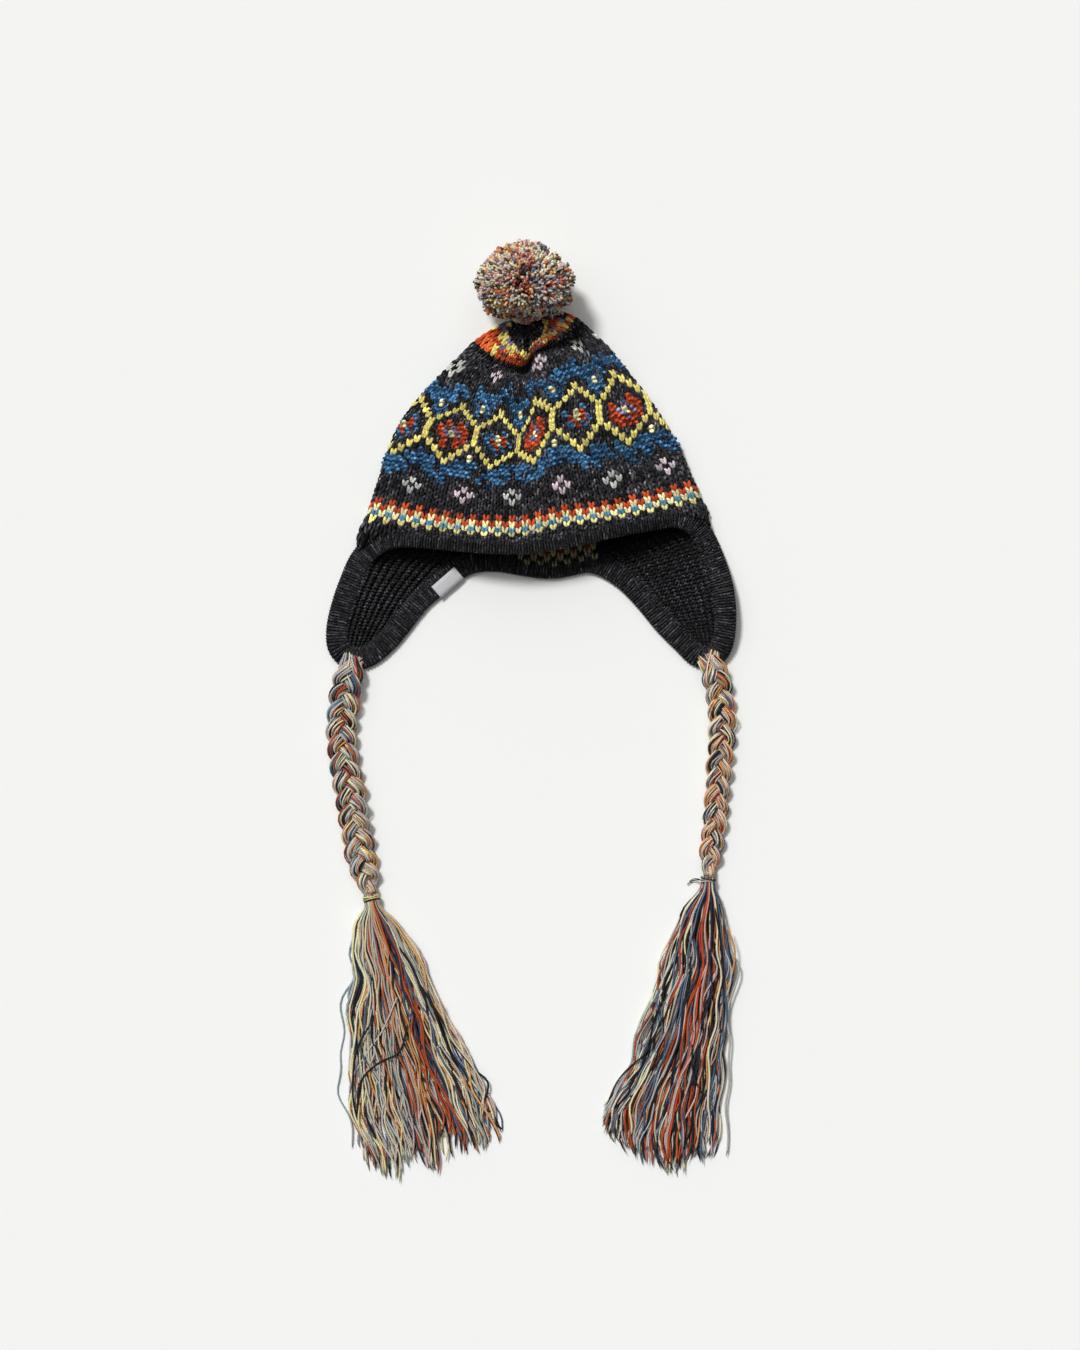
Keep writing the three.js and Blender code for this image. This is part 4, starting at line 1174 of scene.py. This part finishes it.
# Braided ties
# Shares of the yarn colours in the tassels' zones and in the braids
TIE_COLOURS = ("ecru", "cream", "silver", "beige", "rust", "amber", "slate", "navy", "charcoal",
               "sky", "mauve", "red", "grey")
TIE_MIXES = {name: dict(zip(TIE_COLOURS, weights)) for name, weights in {
    "mixed": (18, 6, 8, 15, 13, 8, 10, 7, 13, 6, 1, 3, 4),
    "pale": (18, 7, 22, 12, 5, 2, 5, 4, 12, 6, 1, 1, 16),
    "warm": (11, 6, 5, 7, 19, 10, 9, 9, 14, 3, 1, 5, 2),
    "deep": (9, 7, 6, 9, 16, 6, 9, 7, 27, 3, 0.5, 6, 5),
    "braid": (19, 8, 8, 19, 14, 13, 10, 5, 10, 8, 1, 4, 4),
}.items()}
TASSEL_YARNS = 220
TASSEL_CLUMPS = 14
TASSEL_YARN_RADIUS = 0.74
TASSEL_FLOOR_GAP = 0.85
PILE_HEIGHTS = (12.0, 13.0, 11.5, 9.5, 7.5, 5.0)     # of the tassel's heap, from the tie to the tips
END_SAMPLES = 60                 # points on a braid's line where only its end is read
WRAP_TURNS = 3
WRAP_RADIUS = 0.46
STRAND_SWING = 7.0               # to each side of the braid's middle
STRAND_LIFT = 3.4                # up and down
STRAND_WIDE = 4.9                # half width and half height of a strand
STRAND_HIGH = 3.1
STRAND_SAMPLES = 92
YARN_RADIUS = 0.56
STRAND_RINGS = ((0.3, 5), (0.64, 11), (0.96, 19))     # share of the radius and yarns
LOOSE_ENDS = {"left": (), "right": ((10.5, 3.4), (9.0, 1.2))}    # how far they reach out and drop


def braid_centre(braid, samples):
    """The braid's line on the floor, with the direction along it and the distance travelled."""
    line = spline(braid["line"], False, samples)
    return line, unit(np.gradient(line, axis=0)), distance_along(line)


def braid_heights(braid, travelled):
    """Size of the braid, and the height of its middle: over the binding at first, then on the
    floor, and at last in the middle of the tie."""
    length = travelled[-1]
    tail = smooth((length - travelled) / TAPER_TO_TIE)
    size = ramp(braid["scale"], travelled / length) * (0.45 + 0.55 * tail)
    middle = STRAND_LIFT + STRAND_HIGH
    rise = RISE_OVER_BAND * (1 - smooth((travelled - FLAT_BEFORE_EDGE) / DOWN_TO_FLOOR))
    to_tie = np.maximum(0, (1 - tail) * (braid["tie_radius"] - middle * size))
    return size, middle * size + rise + to_tie


def strand_line(braid, number, samples):
    """One strand swings to both sides once a pitch and up and down twice, a third of a pitch
    after the strand before it. Over the first few millimetres it comes up out of the flap's knit."""
    line, along, travelled = braid_centre(braid, samples)
    size, height = braid_heights(braid, travelled)
    phase = 2 * np.pi * (travelled / BRAID_PITCH + number / 3)
    across = np.stack([-along[:, 1], along[:, 0]], axis=1)
    xy = line + across * (STRAND_SWING * size * np.sin(phase))[:, None]
    z = height + STRAND_LIFT * size * np.sin(2 * phase)
    lead = np.array(braid["lead"][number], float)
    joined = int(np.searchsorted(travelled, LEAD_LENGTH))
    way = travelled / travelled[joined]
    blend = smooth(way)
    straight = lead + (xy[joined] - lead) * way[:, None]
    xy = straight * (1 - blend)[:, None] + xy * blend[:, None]
    z = (2.6 + 6.0 * smooth(travelled / 6)) * (1 - blend) + z * blend
    return np.column_stack([xy, z]), size * (0.6 + 0.4 * smooth(travelled / 7))


def slow_noise(seed, rows, samples, waves):
    """Smooth random lines between about -1 and 1: sums of four sines with random phases, the
    fastest with waves turns along the line."""
    t = np.linspace(0, 1, samples)[None]
    total = np.zeros((rows, samples))
    for share in (0.25, 0.5, 0.75, 1.0):
        turns = waves * share * seed.uniform(0.8, 1.2, (rows, 1))
        total += np.sin(2 * np.pi * (turns * t + seed.random((rows, 1))))
    return total / 2.2


def grouped_colours(seed, count, group, mix):
    """Yarn colours in short runs of neighbours, because each length of yarn is folded into several."""
    runs = mixed_colours(seed, count, TIE_MIXES[mix])
    index = np.cumsum(seed.random(count) < 1 / group)
    return runs[index % count] * seed.uniform(0.92, 1.08, (count, 1))


def zoned_colours(seed, share, zones):
    """Tassel yarn colours drawn with weights that change across the fan, with blurred borders."""
    blurred = share + seed.normal(0, 0.07, len(share))
    colours = np.zeros((len(share), 3))
    low = -1.0
    for high, mix in zones:
        here = (blurred > low) & ((blurred <= high) | (high == 1.0))
        colours[here] = grouped_colours(seed, int(here.sum()), 1.1, mix)
        low = high
    return colours


def build_strand(side, braid, number, yarn):
    """A strand is a bundle of thin yarns: each keeps its place in a flattened round section that
    follows the strand, with a slow twist and some wander, and a few stand a little proud."""
    seed = np.random.default_rng(SEEDS[side] + number)
    samples = STRAND_SAMPLES
    centre, size = strand_line(braid, number, samples)
    along = unit(np.gradient(centre, axis=0))
    across = unit(np.cross(UP, along))
    rise = np.cross(along, across)
    places = np.array([(ring, 2 * math.pi * k / count) for ring, count in STRAND_RINGS
                       for k in range(count)])
    yarns = len(places)
    proud = 1 + 0.16 * (seed.random((yarns, 1)) < 0.15)
    radius = places[:, :1] * proud * (1 + 0.16 * slow_noise(seed, yarns, samples, 9))
    turn = np.linspace(0, 1, samples)[None]
    angle = places[:, 1:] + 3.4 * turn + 0.55 * slow_noise(seed, yarns, samples, 6)
    wide = (STRAND_WIDE - YARN_RADIUS) * size[None] * radius
    high = (STRAND_HIGH - YARN_RADIUS) * size[None] * radius
    lines = (centre[None] + across[None] * (wide * np.cos(angle))[..., None]
             + rise[None] * (high * np.sin(angle))[..., None])
    lines[..., 2] = np.maximum(lines[..., 2], YARN_RADIUS + 0.12)
    thick = np.full(lines.shape[:2], YARN_RADIUS) * seed.uniform(0.85, 1.15, (yarns, 1))
    colours = 1.08 * grouped_colours(seed, yarns, 1.05, "braid")
    ups = np.broadcast_to(UP, lines.shape)
    piece = yarn_mesh(f"braid_{side}_{number + 1}_yarns", lines, ups, thick, colours)
    return finish_piece(piece, yarn, "mixed_yarn", f"braid_{side}_strand_{number + 1}")


def build_tie_wrap(side, braid, yarn, colours):
    """Thin yarns wound three times round the strands' ends side by side, each turn a little askew,
    as helices with a slow sideways sway; on the right, two loose ends lie beside them."""
    line, along = braid_centre(braid, END_SAMPLES)[:2]
    place = line[-1] + along[-1] * 0.6
    across = np.array([-along[-1, 1], along[-1, 0]])
    t = np.linspace(0, 1, 28 * WRAP_TURNS)
    tie_radius = braid["tie_radius"]
    lines = []
    for number in range(len(colours)):
        radius = 0.92 * tie_radius + 0.25 * np.sin(2 * np.pi * (1.7 * t + 0.4 * number))
        angle = 2 * np.pi * WRAP_TURNS * t + 0.5 * number
        shift = WRAP_RADIUS * (1 + 2.1 * number) + (braid["tie_length"] - 6 * WRAP_RADIUS) * t \
            + 0.55 * np.sin(angle + 4 * t + number)
        xy = place + along[-1] * shift[:, None] + across * (radius * np.cos(angle))[:, None]
        z = np.maximum(tie_radius + 0.05 + radius * np.sin(angle), WRAP_RADIUS)
        lines.append(np.column_stack([xy, z]))
    for reach, drop in LOOSE_ENDS[side]:
        x = place[0] - tie_radius * 0.9 - reach * t
        y = place[1] - 2.0 - drop * t + 1.6 * np.sin(np.pi * t)
        lines.append(np.column_stack([x, y, tie_radius * (1.2 - 0.9 * smooth(t * 1.4))]))
    lines = np.stack(lines)
    wide = np.full(lines.shape[:2], WRAP_RADIUS)
    wide[len(colours):] *= 0.8
    shades = [linear(YARN[colour]) for colour in colours + (colours[0],) * len(LOOSE_ENDS[side])]
    ups = np.broadcast_to(np.append(along[-1], 0.0), lines.shape)
    piece = yarn_mesh(f"tie_wrap_{side}_yarn", lines, ups, wide, shades, 6)
    return finish_piece(piece, yarn, "mixed_yarn", f"tie_wrap_{side}")


def build_tassel(side, braid, tassel, yarn):
    """Loose yarns from the tie down the fan. Each keeps its share of the width, sways by slow sines
    that grow towards its end, lies at its own depth in the heap, and stops near the tips' line. They
    leave the tie side by side and spread within a few millimetres."""
    seed = np.random.default_rng(SEEDS[f"{side} tassel"])
    samples = 38
    each = (TASSEL_YARNS, 1)
    t = np.linspace(0, 1, samples)[None]
    order = np.sort(seed.random(TASSEL_YARNS))[:, None]
    share = np.clip(order ** tassel["crowding"], 0.005, 0.995)
    tip = ramp(tassel["tips"], share[:, 0])[:, None] + seed.uniform(-2, 14, each) \
        + 34 * (seed.random(each) < 0.08)
    line, along = braid_centre(braid, END_SAMPLES)[:2]
    start = line[-1] - along[-1] * 1.0
    y = start[1] + (tip - start[1]) * t

    # across the fan: clumps, wander and a slow sway
    depth_down = -tassel["fan"][:, 0]
    x_left, x_right = (np.interp(-y, depth_down, tassel["fan"][:, k]) for k in (1, 2))
    clump = np.clip((share * TASSEL_CLUMPS + seed.normal(0, 0.3, each)).astype(int), 0,
                    TASSEL_CLUMPS - 1)
    middle = (clump + 0.5) / TASSEL_CLUMPS
    share = share + (middle - share) * 0.4 * smooth(t * 1.4) * (seed.random(each) < 0.8)
    wander = 0.03 * slow_noise(seed, TASSEL_YARNS, samples, 2.2) + seed.normal(0, 0.03, each) * t
    stray = (seed.random(each) < 0.05) * np.sign(share - 0.5) * 0.09 * smooth(t * 1.6)
    x = x_left + (x_right - x_left) * (np.clip(share + wander * smooth(t * 3), -0.01, 1.01) + stray)
    sway = slow_noise(seed, TASSEL_CLUMPS, samples, 4.5)[clump[:, 0]] * seed.uniform(0.6, 1.3, each)
    own = seed.uniform(0.2, 1.3, each) * slow_noise(seed, TASSEL_YARNS, samples, 7)
    x = x + (2.6 * sway + own) * smooth(t * 3)

    # height in the heap
    heap = np.interp(-y, depth_down, np.linspace(0, 1, len(depth_down)))
    depth = seed.random(each)
    pile = ramp(PILE_HEIGHTS, heap) * (0.55 + 0.45 * np.sin(
        np.pi * np.clip(share, 0.02, 0.98)) ** 0.5)
    z = TASSEL_FLOOR_GAP + (pile - 2 * TASSEL_FLOOR_GAP) * depth \
        + 1.3 * slow_noise(seed, TASSEL_YARNS, samples, 5) * t

    # gathered into the tie at first
    offset = (2 * share - 1) * 0.8 * braid["tie_radius"]
    chord = np.sqrt(np.maximum((0.8 * braid["tie_radius"]) ** 2 - offset ** 2, 0.3))
    gather = 1 - smooth((start[1] - braid["tie_length"] - y) / 13)
    drawn = start[0] + along[-1, 0] / along[-1, 1] * (y - start[1])
    x = x * (1 - gather) + gather * (drawn + offset)
    z = z * (1 - gather) + gather * (braid["tie_radius"] + chord * (2 * depth - 1))

    lines = np.stack([x, y, np.maximum(z, TASSEL_FLOOR_GAP)], axis=-1)
    sink = np.linspace(12.5, TASSEL_FLOOR_GAP + 0.4, samples)
    strays = [np.column_stack([spline(points, False, samples), sink]) for _, points in tassel["strays"]]
    lines = np.concatenate([lines, strays])
    thick = np.full(lines.shape[:2], TASSEL_YARN_RADIUS) * seed.uniform(0.8, 1.15, (len(lines), 1))
    colours = np.concatenate([zoned_colours(seed, order[:, 0], tassel["zones"]),
                              [linear(YARN[colour]) for colour, _ in tassel["strays"]]])
    ups = np.broadcast_to(UP, lines.shape)
    piece = yarn_mesh(f"tassel_{side}_yarns", lines, ups, thick, colours)
    finish_piece(piece, yarn, "mixed_yarn", f"tassel_{side}")


def build_tie(side, braid, tassel, yarn, wrap_colours):
    """One tie: three strands, the wrap and the tassel."""
    strands = [build_strand(side, braid, number, yarn) for number in range(3)]
    wrap = build_tie_wrap(side, braid, yarn, wrap_colours)
    build_tassel(side, braid, tassel, yarn)


# Label

LABEL_LENGTH = 22.6
LABEL_THICKNESS = 0.5
LABEL_TURN = -math.radians(49)
LABEL_PLACE = np.array([-66.4, -91.6, BAND_THICKNESS + 0.2])


def build_label(tape):
    """A folded tape over the binding: a strip with rounded corners that bends down past the edge."""
    across = np.array([0.0, 3, 6, 8.4, 9.4, 10.2, 10.7, 10.9, 11.0])
    drop = np.array([0.9, 1.0, 1.0, 0.9, 0.6, 0.1, -0.8, -1.9, -3.4])
    along = np.linspace(-LABEL_LENGTH / 2, LABEL_LENGTH / 2, 23)
    u, k = grid_of(along, np.arange(len(across)))
    x = across[k]
    cos, sin = math.cos(LABEL_TURN), math.sin(LABEL_TURN)
    wave = 0.15 * np.sin(u * 0.5)
    sheet = LABEL_PLACE + np.stack([x * cos - u * sin, x * sin + u * cos, drop[k] + wave], axis=-1)
    faces = grid_faces(len(along), len(across))
    uvs = np.stack([u, x], axis=-1).reshape(-1, 2)
    piece = make_mesh("label_tape", sheet.reshape(-1, 3), faces, None, None, uvs)
    thick = piece.modifiers.new("tape thickness", "SOLIDIFY")
    thick.thickness = LABEL_THICKNESS * MM
    thick.offset = 0.0
    finish_piece(piece, tape, "label_tape", "label")


# Stage

FLOOR_HALF = 15000.0             # half the floor's side
FILL = 0.15                      # strength of the light from all round
LIGHTS = (                       # name, energy, angle it is seen under in radians, direction
    ("window", 2.45, 0.2, (0.42, -0.66, -1.0)),
    ("bounce", 1.0, 1.5, (0.3, -0.75, -1.0)),
)


def build_stage():
    """A pale floor, a soft light and a broader one from the upper left, and a weak fill all round."""
    corners = np.array([(-1, -1, 0), (1, -1, 0), (1, 1, 0), (-1, 1, 0)]) * FLOOR_HALF
    floor = make_mesh("floor", corners, [(0, 1, 2, 3)])
    floor.data.materials.append(paper_floor())
    scene = bpy.context.scene
    scene.world = bpy.data.worlds.new("studio")
    scene.world.use_nodes = True
    background = scene.world.node_tree.nodes["Background"]
    background.inputs["Color"].default_value = (*linear("#F4F4F2"), 1)
    background.inputs["Strength"].default_value = FILL
    scene.view_settings.view_transform = "Standard"
    for name, energy, angle, heading in LIGHTS:
        light = bpy.data.lights.new(name, "SUN")
        light.energy = energy
        light.angle = angle
        lamp = bpy.data.objects.new(name, light)
        lamp.rotation_euler = Vector(heading).to_track_quat("-Z", "Y").to_euler()
        scene.collection.objects.link(lamp)


def build_camera():
    """The camera looks straight down, with the pompom at the top of the picture."""
    data = bpy.data.cameras.new("camera")
    data.sensor_fit = "VERTICAL"
    data.sensor_height = SENSOR
    data.lens = SENSOR * CAMERA_DISTANCE / FRAME_HEIGHT
    data.clip_end = 80
    camera = bpy.data.objects.new("camera", data)
    camera.location = np.array([*CAMERA_AIM, CAMERA_DISTANCE]) * MM
    bpy.context.scene.collection.objects.link(camera)
    bpy.context.scene.camera = camera


build_camera()
build_stage()
soft_yarn = wool_yarn("soft plied wool yarn", 0.05, 0.28, 1.1, 3.2, 0.35)
marl_yarn = wool_yarn("charcoal marl yarn with pale fibres", 0.05, 0.95, 1.5, 3.2, 0.35)
tie_yarn = wool_yarn("mercerised cotton and wool yarn", 0.04, 0.16, 1.1, 2.0, 0.25)
build_tie("left", LEFT_BRAID, LEFT_TASSEL, tie_yarn, ("straw", "charcoal"))
build_tie("right", RIGHT_BRAID, RIGHT_TASSEL, tie_yarn, ("charcoal", "silver"))
# the marl flecks are the fabric's own; the base is darker than the rib yarn, as painted shade in the
# gaps between the ribs and stitches
rib_fabric_with_gap_shade = marl_fabric("charcoal marl rib", "#0C0B0D", "#302F32", 1.6, 0.5)
# painted shade: the wall's fabric is near black, darker than the charcoal yarn, so that the hollow and
# the gaps between stitches read as shadow
painted_shade_lining = marl_fabric("inside of the stranded knit", "#0A0A0B", "#1C1B1D", 5.0, 0.8)
build_crown(soft_yarn, painted_shade_lining)
build_binding(rib_fabric_with_gap_shade, marl_yarn)
for flap_side in ("left", "right"):
    build_flap(flap_side, rib_fabric_with_gap_shade, marl_yarn)
build_pompom(soft_yarn)
build_label(label_tape())
